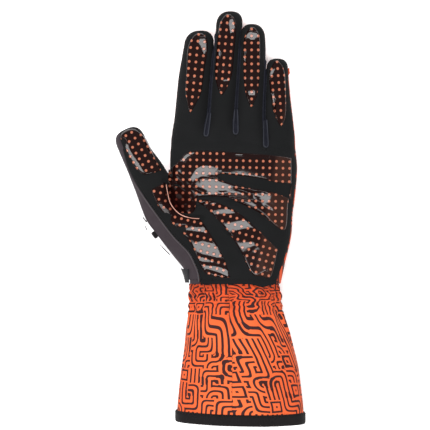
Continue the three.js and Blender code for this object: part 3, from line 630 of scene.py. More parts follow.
def finger_grid(i, side, columns=31, rows=84):
    """Front or back strip of finger i, from the root line to the tip's pole."""
    f = fingers[i]
    tau = (1 - np.cos(np.linspace(0, math.pi, columns))) / 2
    tau = 0.75 * tau + 0.25 * np.linspace(0, 1, columns)
    first, last = trunk_side(ROOT_LINE[1][0], False), side_line(ROOT_LINE[1][-1]) - (ROOT_INSET if side > 0 else 0.0)
    roots = [first, CROTCH[0][0], CROTCH[1][0], CROTCH[2][0], last]
    root_x = roots[i] + tau * (roots[i + 1] - roots[i])
    root_y = np.interp(root_x, *ROOT_LINE)
    v = np.linspace(0, 1, rows) ** 1.12
    y = root_y[None, :] + v[:, None] * (f.end - root_y[None, :])
    left, right = finger_edges(i, y, side)
    x = left + tau[None, :] * (right - left)
    start = smooth(v / 0.06)[:, None]
    x = (1 - start) * root_x[None, :] + start * x
    z = hand_height(x, y, side)
    if side < 0 and i == 3:
        z[:, -1] = side_height(x[:, -1], y[:, -1])
    turn = np.linspace(0, math.pi / 2, 15)[1:, None]
    scale, forward = np.cos(turn) ** (2 / TIP_FULLNESS), np.sin(turn) ** (2 / TIP_FULLNESS)
    scale[-1] = 0.0
    centre, half, mid, tall = f.section(np.array(f.end))
    share = (x[-1] - centre) / half
    ty = f.end + f.reach * forward + 0 * share
    tx = centre + f.reach * forward * f.slope + half * scale * share
    tz = mid + side * tall * scale * bulge(share, LIMB_FULLNESS)
    if side < 0:
        tz = rest_on_floor(tz)
    else:
        tz = tz + (z[-1] - (mid + tall * bulge(share, LIMB_FULLNESS))) * scale
    return np.concatenate([stack(x, y, z), stack(tx, ty, tz)]), root_x, root_y


def suede_right(y):
    """Plan edge of the suede toward the little finger: PALM_RIGHT's line, kept inside the hand's side."""
    across, along = plan_line(PALM_RIGHT, 120)
    return np.minimum(np.interp(y, along, across), side_line(y) - SUEDE_INSET)


def palm_left_edge(y):
    """Left plan edge of the palm's grid: the palm's own side above the thumb's crotch, inside the thumb below it."""
    top = trunk_side(y, False)
    inner = np.interp(y, inner_line[1], inner_line[0])
    return np.where(y > THUMB_CROTCH, top, inner)


# Line inside the thumb where the palm's grid meets the thumb's, from the wrist to the crotch
THUMB_CROTCH = 71.5
tries = np.linspace(0.3, 0.9, 400)
crotch_s = float(tries[np.argmax(thumb_plan(tries, np.full(400, -1.0))[1] > THUMB_CROTCH)])
inner_s = np.linspace(0.0, crotch_s, 60)
inner_share = -1.0 + 0.95 * smooth((crotch_s - inner_s) / crotch_s * 1.6)
inner_line = thumb_plan(inner_s, inner_share)[:2]


def palm_grids(side):
    """Palm or back of the hand and its four finger strips, one grid each, sharing the root line's points. The palm's
    lower edge dips by 2.2 mm in a bell about 78% of the way across."""
    strips = [finger_grid(i, side) for i in range(4)]
    root_x, root_y = (np.concatenate([s[n][i > 0 :] for i, s in enumerate(strips)]) for n in (1, 2))
    tau = (root_x - root_x[0]) / (root_x[-1] - root_x[0])
    v = np.linspace(0, 1, 110)[:, None]
    bottom = -0.6 - 2.2 * np.exp(-(((tau - 0.78) / 0.12) ** 2)) if side > 0 else -0.3 + 0 * tau
    y = bottom[None, :] + v * (root_y[None, :] - bottom[None, :])
    left = palm_left_edge(y)
    right = suede_right(y) if side > 0 else side_line(y)
    near_root = smooth((v - 0.9) / 0.1)
    right = (1 - near_root) * right + near_root * root_x[-1]
    left = (1 - near_root) * left + near_root * root_x[0]
    x = left + tau[None, :] * (right - left)
    z = hand_height(x, y, side)
    if side < 0:
        z[:, -1] = side_height(x[:, -1], y[:, -1])
    return [stack(x, y, z)] + [s[0] for s in strips]


def thumb_seam(table):
    """A seam down the thumb as two arrays: places along the thumb, and the seam's share of its half width there."""
    near, share, _, _ = thumb_place(*plan_line(table, 160))
    order = np.argsort(near, kind="stable")
    return near[order] / THUMB_STEPS, np.clip(share[order], -0.5, 0.985)


# Place along the thumb where each share of its width crosses the wrist line
foot_share = np.linspace(-1.0, 1.0, 41)
low_places = np.linspace(0, 0.3, 200)
foot_place = np.array([
    np.interp(-0.5, thumb_plan(low_places, np.full(200, one))[1], low_places) for one in foot_share
])

suede_seam, charcoal_seam = thumb_seam(SUEDE_EDGE), thumb_seam(CHARCOAL_EDGE)
thumb_s = np.concatenate([np.linspace(0.0, 1.0, 110), 1.0 + np.linspace(0, 1, 14)[1:]])


def thumb_grid(low_share, high_share, side, columns):
    """Part of the thumb from the wrist line to its tip, between two shares of its half width that vary along it."""
    tau = np.linspace(0, 1, columns)[None, :]
    place = np.broadcast_to(thumb_s[:, None], (len(thumb_s), columns))
    for _ in range(6):
        low, high = low_share(np.minimum(place, 1.0)), high_share(np.minimum(place, 1.0))
        share = np.cos(np.arccos(np.clip(low, -1, 1)) * (1 - tau) + np.arccos(np.clip(high, -1, 1)) * tau)
        foot = np.interp(share, foot_share, foot_place)
        place = np.where(thumb_s[:, None] < 1.0, foot + (1.0 - foot) * thumb_s[:, None], thumb_s[:, None])
    x, y, mid, tall = thumb_plan(place, share)
    own = mid + side * tall * bulge(share, THUMB_FULLNESS)
    z = np.where(y < JOIN_END, side * soft_max(side * own, side * trunk_height(x, y, side), JOIN), own)
    tip = smooth((2.0 - thumb_s) / 1.0)[:, None]
    if side > 0:
        z = z - (crease_depth(x, y) - ripple(x, y)) * tip
    else:
        z = rest_on_floor(z)
    return stack(x, y, z)


LAP = 0.012  # half the seam between two panels of the thumb, as a share of its half width
SUEDE, CLOTH, CUFF_CLOTH, STRIP_CLOTH = WALL * 0.8, WALL * 0.7, WALL * 0.75, 0.9  # thicknesses of the cloths


def suede_edge(place):
    """Share of the thumb's half width where its suede ends, at places along it."""
    return np.interp(place, *suede_seam)


def charcoal_edge(place):
    """The same for its charcoal panel, which never closes."""
    return np.maximum(np.interp(place, *charcoal_seam), suede_edge(place) + 0.03)


def crotch_edge(place):
    """Where the thumb's suede ends inside the palm, and its own far side past the crotch."""
    return np.maximum(np.where(place < crotch_s, np.interp(place, inner_s, inner_share) - 0.08, -1.0), -1.0)


front = palm_grids(1)
thumb_suede = thumb_grid(crotch_edge, lambda p: suede_edge(p) - LAP, 1, 44)
thumb_side = thumb_grid(lambda p: suede_edge(p) + LAP, lambda p: charcoal_edge(p) - LAP, 1, 14)
white_front = thumb_grid(lambda p: charcoal_edge(p) + LAP, np.ones_like, 1, 10)
white_under = thumb_grid(np.ones_like, crotch_edge, -1, 30)
make("palm_suede", front + [thumb_suede], "suede", ["palm_panel"], thick=SUEDE)
make("thumb_charcoal", [thumb_side], "charcoal_stretch", ["thumb_side_panel"], thick=CLOTH)
make("thumb_back_white", [white_under], "white_stretch", ["thumb_back_panel"], out=DOWN, thick=CLOTH)
make("thumb_back_white_edge", [white_front], "white_plain", out=(-1.0, 0.2, 0.3), thick=CLOTH)

# Back of the hand, and the thin line of its cloth that shows past the suede's edge, from wrist to fingertip
sliver_y = np.linspace(-0.3, fingers[3].end, 170)[:, None]
inner_x = suede_right(sliver_y) + 0.15
past_root = smooth((sliver_y - 88.0) / 8.0)
inner_x = (1 - past_root) * inner_x + past_root * (finger_edges(3, sliver_y)[1] + 0.2)
tau = np.sin(np.linspace(0, math.pi / 2, 9))[None, :]
sx = inner_x + tau * (side_line(sliver_y) - inner_x)
sz = hand_height(sx, sliver_y, 1)
sz[:, -1] = side_height(sx[:, -1], sliver_y[:, 0])
sliver = stack(sx, sliver_y + 0 * sx, sz)
make("back_print", palm_grids(-1), "orange_print", ["back_panel"], out=DOWN, thick=CLOTH)
make("back_print_edge", [sliver], "orange_print", out=(1.0, 0.0, 0.5), thick=CLOTH)


def fourchette(k):
    """Strip between fingers k and k + 1: down one finger's side, round the U and up the other's, front to back."""
    q = np.linspace(0, 1, 13)[None, :]
    sides = []
    for i, sign in ((k, 1), (k + 1, -1)):
        f = fingers[i]
        y = np.linspace(CROTCH[k][1] + SLOT, f.end + 1.0, 70)[:, None]
        left, right = finger_edges(i, y)
        edge = right if sign > 0 else left
        back_edge = finger_edges(i, y, -1)[1 if sign > 0 else 0]
        centre, half, mid, tall = f.section(y)
        share = np.clip(np.abs(edge - centre) / half, 0.0, 1.0)
        a = np.arccos(share)
        angle = a * (1 - 2 * q)
        top = hand_height(edge, y, 1) + 0.05
        bottom = hand_height(back_edge, y, -1)
        out = np.cos(angle)
        x = centre + sign * half * out
        room = (valley(k, y) - x) * sign
        close = 1.1 * smooth((f.end + 3.0 - y) / 8.0)
        x = valley(k, y) - sign * np.minimum(room, np.maximum(0.0, 2.0 * (room - close)))
        z = bottom + (top - bottom) * (1 - q)
        x = x + 0 * z
        x[:, 0], x[:, -1] = edge[:, 0], back_edge[:, 0]
        sides.append(stack(x, y + 0 * z, z))
    a, b = sides[0][0], sides[1][0]
    turn = np.linspace(0, math.pi, 15)[:, None]
    centre_x = (a[None, :, 0] + b[None, :, 0]) / 2
    radius = (b[None, :, 0] - a[None, :, 0]) / 2
    ux = centre_x - radius * np.cos(turn)
    uy = a[None, :, 1] - SLOT * np.sin(turn)
    uz = np.broadcast_to((a[None, :, 2] + b[None, :, 2]) / 2, ux.shape)
    return np.concatenate([sides[0][::-1], stack(ux, uy, uz)[1:-1], sides[1]])


for k, pair in enumerate(["index_middle", "middle_ring", "ring_little"]):
    gap = lambda c, k=k: np.stack([valley(k, c[:, 1]) - c[:, 0], 0.3 + 0 * c[:, 0], 0 * c[:, 0]], 1)
    make(f"side_strip_{pair}", [fourchette(k)], "navy_stretch", [f"fourchette_{pair}"], out=gap, thick=STRIP_CLOTH)


# Silicone patches in plan, as in the part's source: finger patches give left and right at places along,
# the others give near and far edges at places across
FINGER_GRIPS = {
    "index": [
        (0.626, -0.352, -0.34), (0.657, -0.366, -0.3), (0.704, -0.382, -0.256), (0.782, -0.374, -0.232),
        (0.858, -0.366, -0.206), (0.9, -0.33, -0.216), (0.917, -0.29, -0.25),
    ],
    "middle": [
        (0.69, -0.1, -0.09), (0.716, -0.128, -0.056), (0.77, -0.15, -0.014), (0.855, -0.137, 0.003),
        (0.935, -0.12, 0.018), (0.968, -0.096, 0.004), (0.987, -0.06, -0.028),
    ],
    "ring": [
        (0.646, 0.129, 0.141), (0.69, 0.094, 0.181), (0.763, 0.076, 0.2), (0.884, 0.076, 0.206),
        (0.92, 0.1, 0.19), (0.94, 0.13, 0.16),
    ],
    "little": [
        (0.576, 0.362, 0.374), (0.605, 0.33, 0.402), (0.656, 0.299, 0.41), (0.759, 0.274, 0.403),
        (0.798, 0.3, 0.38), (0.817, 0.325, 0.345),
    ],
}
THUMB_GRIP = [
    (-0.89, 0.532, 0.542), (-0.872, 0.507, 0.553), (-0.83, 0.466, 0.564), (-0.777, 0.425, 0.564),
    (-0.725, 0.402, 0.546), (-0.683, 0.397, 0.525), (-0.628, 0.404, 0.466), (-0.573, 0.413, 0.417),
]
UPPER_GRIP = [
    (-0.515, 0.312, 0.326), (-0.5, 0.289, 0.345), (-0.488, 0.281, 0.365), (-0.481, 0.275, 0.423),
    (-0.45, 0.266, 0.437), (-0.415, 0.258, 0.457), (-0.385, 0.256, 0.4725),
    (-0.345, 0.255, 0.4815), (-0.31, 0.266, 0.484), (-0.288, 0.311, 0.485), (-0.27, 0.314, 0.485),
    (-0.212, 0.318, 0.485),
    (-0.1, 0.316, 0.483), (-0.055, 0.314, 0.4805), (0.047, 0.293, 0.4765), (0.212, 0.253, 0.4715),
    (0.392, 0.194, 0.463),
    (0.424, 0.29, 0.46), (0.45, 0.363, 0.458),
]
MIDDLE_GRIP = [
    (-0.283, 0.297, 0.304), (-0.196, 0.266, 0.304), (-0.063, 0.198, 0.281), (0.047, 0.121, 0.253),
    (0.137, 0.037, 0.216), (0.212, 0.026, 0.185), (0.29, 0.026, 0.147), (0.341, 0.121, 0.125),
]
THENAR_GRIP = [
    (-0.644, 0.334, 0.343), (-0.609, 0.2965, 0.352), (-0.576, 0.27, 0.36), (-0.538, 0.2475, 0.365),
    (-0.52, 0.236, 0.308),
    (-0.455, 0.206, 0.268), (-0.345, 0.152, 0.244), (-0.267, 0.07, 0.233), (-0.22, 0.037, 0.204),
    (-0.102, 0.022, 0.114), (-0.031, 0.022, 0.026),
]
# Bare stripe of suede between the two arms of the upper palm patch: across, near, far
BARE_STRIPE = [
    (-0.126, 0.38, 0.402), (0.028, 0.356, 0.394), (0.212, 0.341, 0.382), (0.322, 0.33, 0.37), (0.5, 0.298, 0.362),
]
# One dot on each finger patch's middle line in mm, the line's lean in degrees, and the spacing across it in mm
FINGER_DOTS = {
    "index": ((-26.8, 171.5), -5.7, 4.9), "middle": ((-5.9, 179.7), -5.0, 4.6),
    "ring": ((12.85, 180.4), 0.0, 4.9), "little": ((32.3, 151.5), 4.3, 4.6),
}
GRIP = 0.8  # silicone's height over the suede
GRIP_SINK = 0.3  # how far its edge lies under the suede
GRIP_EDGE = 1.3  # width of a patch's rounded edge
GRIP_ROWS = 400  # rows that a patch's table is read in
PALM_PITCH = 4.83  # spacing of the palm's dots in mm
THUMB_PITCH = 4.9
FINGER_PITCH = 5.12  # spacing of the fingers' dots along them


def edge_distance(x, y, outline):
    """Distance in plan of each point from an outline's nearest straight piece."""
    best = np.full(np.shape(x), FAR)
    for start, end in outline:
        best = np.minimum(best, piece_distance(x, y, start, end))
    return np.sqrt(best)


def segments(*lines):
    """Straight pieces of several open lines, each given as its x and y arrays."""
    return [((l[0][i], l[1][i]), (l[0][i + 1], l[1][i + 1])) for l in lines for i in range(len(l[0]) - 1)]


def clustered(count):
    """Shares from 0 to 1 that crowd toward both ends: (1 - cos) / 2 mixed with an even spread."""
    t = np.linspace(0, 1, count)
    return 0.72 * (1 - np.cos(math.pi * t)) / 2 + 0.28 * t


def silicone(x, y, outline):
    """Silicone's surface: the hand's height plus a flat-topped film that rolls down to below the suede at its edge,
    (1 - (1 - r)^2.6)^(1/2.2) of its full height at a share r of the rounded edge's width."""
    rim = np.clip(edge_distance(x, y, outline) / GRIP_EDGE, 0.0, 1.0)
    lift = (GRIP + GRIP_SINK) * (1.0 - (1.0 - rim) ** 2.6) ** (1 / 2.2) - GRIP_SINK
    return stack(x, y, hand_height(x, y, 1) + lift)


def patch_grid(rows, along, lines, columns, near=None, far=None, rim=None):
    """Patch over a table: along its first column on one axis, from its near edge to its far edge on the other. near
    and far give an edge of another line that cuts it, and rim its outline where it isn't its own."""
    shares = np.linspace(0, 1, GRIP_ROWS)
    main, low, high = (np.interp(clustered(lines), shares, column) for column in through(rows, GRIP_ROWS))
    size, across = (HAND, BREADTH) if along else (BREADTH, HAND)
    main, low, high = main * size, low * across, high * across
    if near is not None:
        low = np.maximum(low, near(main))
    if far is not None:
        high = np.minimum(high, far(main))
    share = clustered(columns)[:, None]
    cross = low[None, :] + share * (high - low)[None, :]
    line = np.broadcast_to(main[None, :], cross.shape)
    x, y = (cross, line) if along else (line, cross)
    ends = [(low, main), (high, main)] if along else [(main, low), (main, high)]
    close = [(x[:, 0], y[:, 0]), (x[:, -1], y[:, -1])]
    return x, y, segments(*ends, *close) if rim is None else rim


def way_at(place):
    """Angle of the thumb's path at a place along it."""
    way = thumb_way[int(place * THUMB_STEPS)]
    return math.atan2(way[1], way[0])


def turned(x, y, angle, ox=0.0, oy=0.0):
    """Dot-grid coordinates in mm: the plan point from an origin, turned back by an angle."""
    c, s = math.cos(angle), math.sin(angle)
    return np.stack([(x - ox) * c + (y - oy) * s, -(x - ox) * s + (y - oy) * c], 2)


def grip_piece(node, grids, lean, pitch, origin, last_row=None):
    """Silicone piece from plan grids, with its dot grid's coordinates counted in dot spacings, turned by a lean in
    radians; past the place across and the row of last_row they stay between two rows, so the film there is bare."""
    shapes, maps = [], []
    for x, y, outline in grids:
        shapes.append(silicone(x, y, outline))
        place = turned(x, y, lean, *origin) / pitch + 0.5
        if last_row:
            bare = np.minimum(place[..., 1], last_row[1])
            place[..., 1] = np.where(place[..., 0] > last_row[0], bare, place[..., 1])
        maps.append(place)
    make(f"{node}_film", shapes, "silicone", [node], uv=maps)


for finger, (dot, lean, across) in FINGER_DOTS.items():
    grid = patch_grid(FINGER_GRIPS[finger], True, 60, 26)
    grip_piece(f"grip_{finger}", [grid], math.radians(lean), np.array([across, FINGER_PITCH]), dot)
thumb_dot = tuple(float(c) for c in thumb_plan(np.array(0.93), np.array(0.0))[:2])
grip_piece("grip_thumb", [patch_grid(THUMB_GRIP, False, 50, 34)], way_at(0.85) - math.pi / 2, THUMB_PITCH, thumb_dot)

PLAN = [[BREADTH], [HAND], [HAND]]  # mm for a table of places across with a near and a far edge
STRIPE_END = 2.0  # mm over which the bare stripe's end is rounded
STRIPE_LEAN = 0.14  # lean of the line that carries its middle on toward the thumb
stripe_x, stripe_near, stripe_far = through(BARE_STRIPE, 80) * PLAN


def stripe_edge(edge):
    """One edge of the bare stripe; toward the thumb both edges are one line, and the stripe closes in a round end."""
    start, end_mid = stripe_x[0], (stripe_near[0] + stripe_far[0]) / 2

    def at(x):
        """The edge's height on the plan at places across."""
        mid = np.interp(x, stripe_x, (stripe_near + stripe_far) / 2)
        round_end = np.sqrt(np.clip(1 - (1 - np.clip((x - start) / STRIPE_END, 0, 1)) ** 2, 0, 1))
        return np.where(
            x < start, end_mid + STRIPE_LEAN * (start - x), mid + (np.interp(x, stripe_x, edge) - mid) * round_end
        )

    return at


upper_x, upper_near, upper_far = through(UPPER_GRIP, 200) * PLAN
rim = segments(
    (upper_x, upper_near),
    (upper_x, upper_far),
    (upper_x[[0, 0]], (upper_near[0], upper_far[0])),
    (upper_x[[-1, -1]], (upper_near[-1], upper_far[-1])),
    (stripe_x, stripe_near),
    (stripe_x, stripe_far),
    (stripe_x[[0, 0]], (stripe_near[0], stripe_far[0])),
)
upper = [
    patch_grid(UPPER_GRIP, False, 130, 44, far=stripe_edge(stripe_near), rim=rim),
    patch_grid(UPPER_GRIP, False, 130, 44, near=stripe_edge(stripe_far), rim=rim),
]
middle, thenar = patch_grid(MIDDLE_GRIP, False, 90, 60), patch_grid(THENAR_GRIP, False, 100, 60)
grip_piece("grip_palm_upper", upper, math.radians(-1.1), PALM_PITCH, (1.6, 74.65), last_row=(-1.0, 4.0))
grip_piece("grip_palm_middle", [middle], math.radians(-16), PALM_PITCH, (10.0, 40.0))
grip_piece("grip_thenar", [thenar], math.radians(-14), PALM_PITCH, (-30.0, 40.0))


def sides_of(way):
    """Level direction across each row of way, the unit of way x up, and the direction over it, that x way."""
    aside = unit(np.cross(way, UP))
    return aside, np.cross(aside, way)


def run_of(path):
    """Length along a path up to each of its points."""
    return np.concatenate([[0.0], np.cumsum(np.linalg.norm(np.diff(path, axis=0), axis=1))])


TUBE_END = 4.0  # rows of a path over which a tube's end is rounded


def tube(name, path, radius, slot, squash=1.0):
    """Rolled edge along a path in mm: a circle of a radius carried along it, flattened by squash, its ends closed."""
    aside, over = sides_of(unit(np.gradient(path, axis=0)))
    angle = np.linspace(0, 2 * math.pi, 11)[:-1][None, :, None]
    taper = np.sqrt(np.clip(1 - (1 - np.minimum(1, np.arange(len(path)) / TUBE_END)) ** 2, 0, 1))
    taper = (np.minimum(taper, taper[::-1]) * radius)[:, None, None]
    ring = path[:, None] + taper * (np.cos(angle) * aside[:, None] + squash * np.sin(angle) * over[:, None])
    from_path = lambda c: c - path[np.argmin(((c[:, None, :] - path[None]) ** 2).sum(2), axis=1)]
    make(name, [ring], slot, closed=(0,), out=from_path)


# U-shaped loops where the fingers part: end of the loop in mm, half width, length, and lean in degrees
LOOPS = [((-20.6, 107.0), 1.5, 18.0, 9.0), ((1.2, 108.4), 1.7, 19.0, 1.0), ((23.3, 98.8), 1.7, 21.0, -1.0)]
LOOP_ROUND = 0.12  # share of a loop's path that is its round end
LOOP_HALF = 30  # steps of its path on either side of its middle
PIPING = 0.55  # radius of its piping
GUSSET_SINK, GUSSET_OVER = 0.9, 4.0  # how deep the cloth inside it sinks, and mm up it over which that starts
for k, ((lx, ly), wide, long, lean) in enumerate(LOOPS):
    t = np.linspace(-1, 1, 2 * LOOP_HALF + 1)
    end, quarter = np.abs(t) < LOOP_ROUND, t / LOOP_ROUND * math.pi / 2
    arm = np.clip((np.abs(t) - LOOP_ROUND) / (1 - LOOP_ROUND), 0, 1)
    u = np.where(end, np.sin(quarter), np.sign(t)) * wide * (1 - 0.4 * arm**1.5)
    v = np.where(end, wide * (1 - np.cos(quarter)), wide + arm * (long - wide))
    c, s = math.cos(math.radians(lean)), math.sin(math.radians(lean))
    path_x, path_y = lx + u * c + v * s, ly + v * c - u * s
    level = hand_height(lx + v * s, ly + v * c, 1)
    flank = np.maximum(level, hand_height(path_x + np.sign(u) * 0.8, path_y, 1))
    path = evened(np.stack([path_x, path_y, flank + 0.1], 1), 3)
    tube(f"slot_piping_{k + 1}", path, PIPING, "navy_piping_highlight")
    share = np.linspace(0, 1, 9)[None, :, None]
    fold = path[LOOP_HALF::-1][:, None] * (1 - share) + path[LOOP_HALF:][:, None] * share
    depth = GUSSET_SINK * np.clip(np.abs(v[LOOP_HALF:])[:, None] / GUSSET_OVER, 0, 1)
    fold[:, :, 2] -= depth * np.sin(share[..., 0] * math.pi) + 0.1
    make(f"slot_gusset_{k + 1}", [fold], "navy_stretch", thick=0.3)

# Rolled edge of silicone in the thumb's crotch: points across and along in shares
LIP = [
    (-0.531, 0.362), (-0.522, 0.335), (-0.5, 0.295), (-0.455, 0.265), (-0.4, 0.247), (-0.33, 0.238), (-0.27, 0.236),
]
LIP_RADIUS, LIP_RISE = 0.3, 0.25
lip_x, lip_y = plan_line(LIP, 70)
lip_path = np.stack([lip_x, lip_y, hand_height(lip_x, lip_y, 1) + GRIP + LIP_RISE], 1)
tube("crotch_lip", lip_path, LIP_RADIUS, "silicone_lip_highlight")

# Cuff, from inside the wrist down to the hem, in mm
TUCK = 9.0  # how far its top reaches up inside the wrist
HEM_BOW = 2.6  # how far the front of the hem bows down
HEM_TILT = 0.022  # fall of the hem for each mm toward the little finger
TAPE = 1.2  # thickness of the hem's tape
TAPE_LIFT = TAPE + 0.3  # how high the cuff's cloth stays over the floor
TAPE_FROM, TAPE_TO = -0.889, -0.968  # shares along the cuff between which the tape lies
GAUNTLET_BOTTOM = 0.965  # share down the cuff where its table ends
g_along, g_left, g_right, g_low, g_high = through(GAUNTLET, 300)


def cuff_point(angle, along):
    """Point of the cuff at an angle round it and a share along it: its rounded section, bowed at the hem, moved outward
    by sums of sines: gathers at the wrist, fine puckers and cross folds below it, and a hanging drape toward the hem."""
    left, right = np.interp(-along, -g_along, g_left) * BREADTH, np.interp(-along, -g_along, g_right) * BREADTH
    low, high = np.interp(-along, -g_along, g_low) * DEPTH, np.interp(-along, -g_along, g_high) * DEPTH
    c, s = spread(angle, CUFF_FULLNESS), spread(angle - math.pi / 2, CUFF_FULLNESS)
    down = -along
    wrist = smooth(down / 0.07) * (1 - 0.85 * smooth((down - 0.1) / 0.45))
    wave = np.sin(7 * angle + 1) + 0.7 * np.sin(11 * angle + 2.3 - 9 * down)
    wave = wave + 0.5 * np.sin(17 * angle + 0.7 + 14 * down)
    puckers = 0.5 * np.sin(31 * angle + 6 * np.sin(20 * down)) * (1 - smooth((down - 0.05) / 0.2))
    slant = 3.0 * np.sin(3 * angle + 1) + 2.0 * np.sin(7 * angle + 2) + 1.2 * np.sin(13 * angle + 30 * down)
    bands = 0.6 * np.sin(105 * down + slant) * smooth((down - 0.01) / 0.05) * (1 - smooth((down - 0.1) / 0.2))
    drape = 0.8 * smooth((down - 0.25) / 0.5) * (np.sin(5 * angle + 0.5) + 0.5 * np.sin(8 * angle + 2 + 3 * down))
    out = wrist * 1.1 * wave + puckers + bands + drape
    hem = smooth((down - 0.3) / (GAUNTLET_BOTTOM - 0.3))
    x = (left + right) / 2 + ((right - left) / 2 + out) * c
    y = along * CUFF - hem * (HEM_BOW * s + HEM_TILT * x)
    z = (low + high) / 2 + ((high - low) / 2 + out) * s
    return x, y, z


def out_of_cuff(angle):
    """Direction across and up that leads out of the cuff at an angle round it."""
    return spread(angle, CUFF_FULLNESS), spread(angle - math.pi / 2, CUFF_FULLNESS)


# The cuff's cloth is closed at a seam under it. Its coordinates for the print are mm round it, evened out by 60%
# between the wrist and the hem, and mm down it, stretched by up to 55% where it is gathered
seam_angle = math.radians(96)
round_share = np.linspace(0, 1, 361)[None, :]
angle = np.linspace(seam_angle, seam_angle + 2 * math.pi, 361)[None, :]
along = np.concatenate([
    np.linspace(TUCK / CUFF, 0.0, 12)[:-1], np.linspace(0.0, -0.35, 100)[:-1], np.linspace(-0.35, -0.962, 70),
])[:, None]
cx, cy, cz = cuff_point(angle, along)
cuff_round = stack(cx, cy, rest_on_floor(cz - TAPE_LIFT) + TAPE_LIFT)
girth = np.linalg.norm(np.diff(cuff_round, axis=1), axis=2).cumsum(axis=1)[:, -1:]
down_mm = np.broadcast_to(-along * CUFF, (len(along), 361))
even = round_share * (0.6 * girth[-1] + 0.4 * girth)
cuff_uv = np.stack([even, down_mm * (1 + 0.55 * np.exp(-(((down_mm - 12.0) / 16.0) ** 2)))], 2)
from_axis = lambda c: np.stack([c[:, 0] - 4.0, 0 * c[:, 0], c[:, 2] - 19.0], 1)
make("cuff_print", [cuff_round], "orange_print", ["cuff"], out=from_axis, uv=[cuff_uv], thick=CUFF_CLOTH)

# Tape folded over the hem: a squared ring round the cloth's edge, with a fine frill along its lower side
tape_angle = np.linspace(-math.pi, math.pi, 420, endpoint=False)[None, :]
profile = np.linspace(0, 2 * math.pi, 29)[:, None]
tape_s = spread(profile, 3.4)
tape_c = spread(profile - math.pi / 2, 5.0)
tape_mid, tape_half = (TAPE_FROM + TAPE_TO) / 2, (TAPE_FROM - TAPE_TO) / 2
frill = 0.075 * np.sin(120 * tape_angle) * (tape_s > 0.6)
tx, ty, tz = cuff_point(tape_angle, tape_mid + tape_half * tape_s + 0 * tape_angle)
nx, nz = out_of_cuff(tape_angle)
thick_out = np.where(tape_c > 0, TAPE_LIFT, WALL + TAPE_LIFT) * tape_c
tape_uv = np.stack(np.broadcast_arrays(tape_angle / (2 * math.pi) * 300.0, profile / (2 * math.pi) * 22.0), 2)
tape_ring = stack(tx + nx * thick_out, ty + frill, rest_on_floor(tz + nz * thick_out))
tape_axis = tape_ring.reshape(-1, 3).mean(0)
core = tape_ring[:-1].mean(0)


def from_core(c):
    """Direction from the tape's own centre line, at the same angle round the hem."""
    turn = np.arctan2(c[:, 2] - tape_axis[2], c[:, 0] - tape_axis[0])
    around = np.arctan2(core[:, 2] - tape_axis[2], core[:, 0] - tape_axis[0])
    order = np.argsort(around)
    at = [np.interp(turn, around[order], core[order, i], period=2 * math.pi) for i in range(3)]
    return c - np.stack(at, 1)


make("hem_tape", [tape_ring], "black_tape", ["hem_binding"], closed=(0,), out=from_core, uv=[tape_uv])

# Strap round the back of the wrist: it follows the hand's section, narrower where it comes up at the thumb side
STRAP_OUT = 1.0  # mm that it lies outside the section
STRAP_WALL = 1.5  # its thickness
STRAP_RIGHT = 22.0  # mm across where it starts under the wrist
STRAP_END = -32.6  # mm across where it ends on the palm side
STRAP_WIDE = (1.6, 24.0)  # mm along of its lower edge, and its width, behind the wrist
STRAP_NARROW = (0.4, 9.6)  # the same at its end
STRAP_ROWS, STRAP_STEPS = 17, 90  # points across it and along it


def strap_section(y, count):
    """The hand's own section at y, from under its middle round the thumb side to the strap's end, moved outward."""
    x = np.linspace(-75.0, STRAP_RIGHT, 700)
    high, low = hand_height(x, np.full_like(x, y), 1), hand_height(x, np.full_like(x, y), -1)
    start = np.argmax(high > low + 0.4)
    under = np.stack([x[start:], low[start:]], 1)[::-1]
    climb = np.stack([x[start : start + 60], high[start : start + 60]], 1)
    line = np.concatenate([under, climb[climb[:, 0] < STRAP_END]])
    run = run_of(line)
    line = evened(np.stack([np.interp(np.linspace(0.0, run[-1], count), run, line[:, i]) for i in (0, 1)], 1), 4)
    way = unit(np.gradient(line, axis=0))
    climbing = smooth((line[:, 1] - 6.0) / 8.0) * (1 - smooth(y / 10.0))
    return line + STRAP_OUT * (1 - 0.7 * climbing)[:, None] * np.stack([-way[:, 1], way[:, 0]], 1)


narrow = smooth((np.linspace(0.0, 1.0, STRAP_STEPS) - 0.45) / 0.35)
strap_rows = []
for share in np.linspace(0.0, 1.0, STRAP_ROWS):
    wide_y, end_y = (low + width * share for low, width in (STRAP_WIDE, STRAP_NARROW))
    wide, end = strap_section(wide_y, STRAP_STEPS), strap_section(end_y, STRAP_STEPS)
    x, z = (wide * (1 - narrow)[:, None] + end * narrow[:, None]).T
    strap_rows.append(np.stack([x, wide_y + (end_y - wide_y) * narrow, np.maximum(z, 0.1)], 1))
length = run_of(strap_rows[STRAP_ROWS // 2])
strap_uv = np.stack(np.broadcast_arrays(length[None, :], np.linspace(0, STRAP_WIDE[1], STRAP_ROWS)[:, None]), 2)
from_wrist = lambda c: np.stack([c[:, 0], 0 * c[:, 0], c[:, 2] - 30.0], 1)
make("strap", [np.stack(strap_rows)], "strap_web", ["wrist_strap"], out=from_wrist, uv=[strap_uv], thick=STRAP_WALL)

# Black marks of the white panel's print where it shows past the charcoal one: points across and along in mm, radius
MARKS = [
    ([(-54.0, 28.1), (-50.4, 24.1), (-46.7, 20.4)], 0.35),
    ([(-58.9, 37.6), (-57.3, 35.4), (-55.7, 33.4)], 2.0),
    ([(-66.4, 48.2), (-65.0, 46.4), (-63.5, 44.5)], 0.5),
    ([(-64.6, 41.6), (-64.0, 40.2), (-63.6, 38.7)], 0.4),
]
MARK_LEVEL = 15.0  # lowest height of a mark, halfway up the thumb's root
for k, (points, radius) in enumerate(MARKS):
    mx, my = through(points, 24)
    level = np.maximum(hand_height(mx, my, 1) + 0.1, MARK_LEVEL)
    tube(f"white_mark_{k + 1}", np.stack([mx, my, level], 1), radius, "black_tape", squash=0.4)


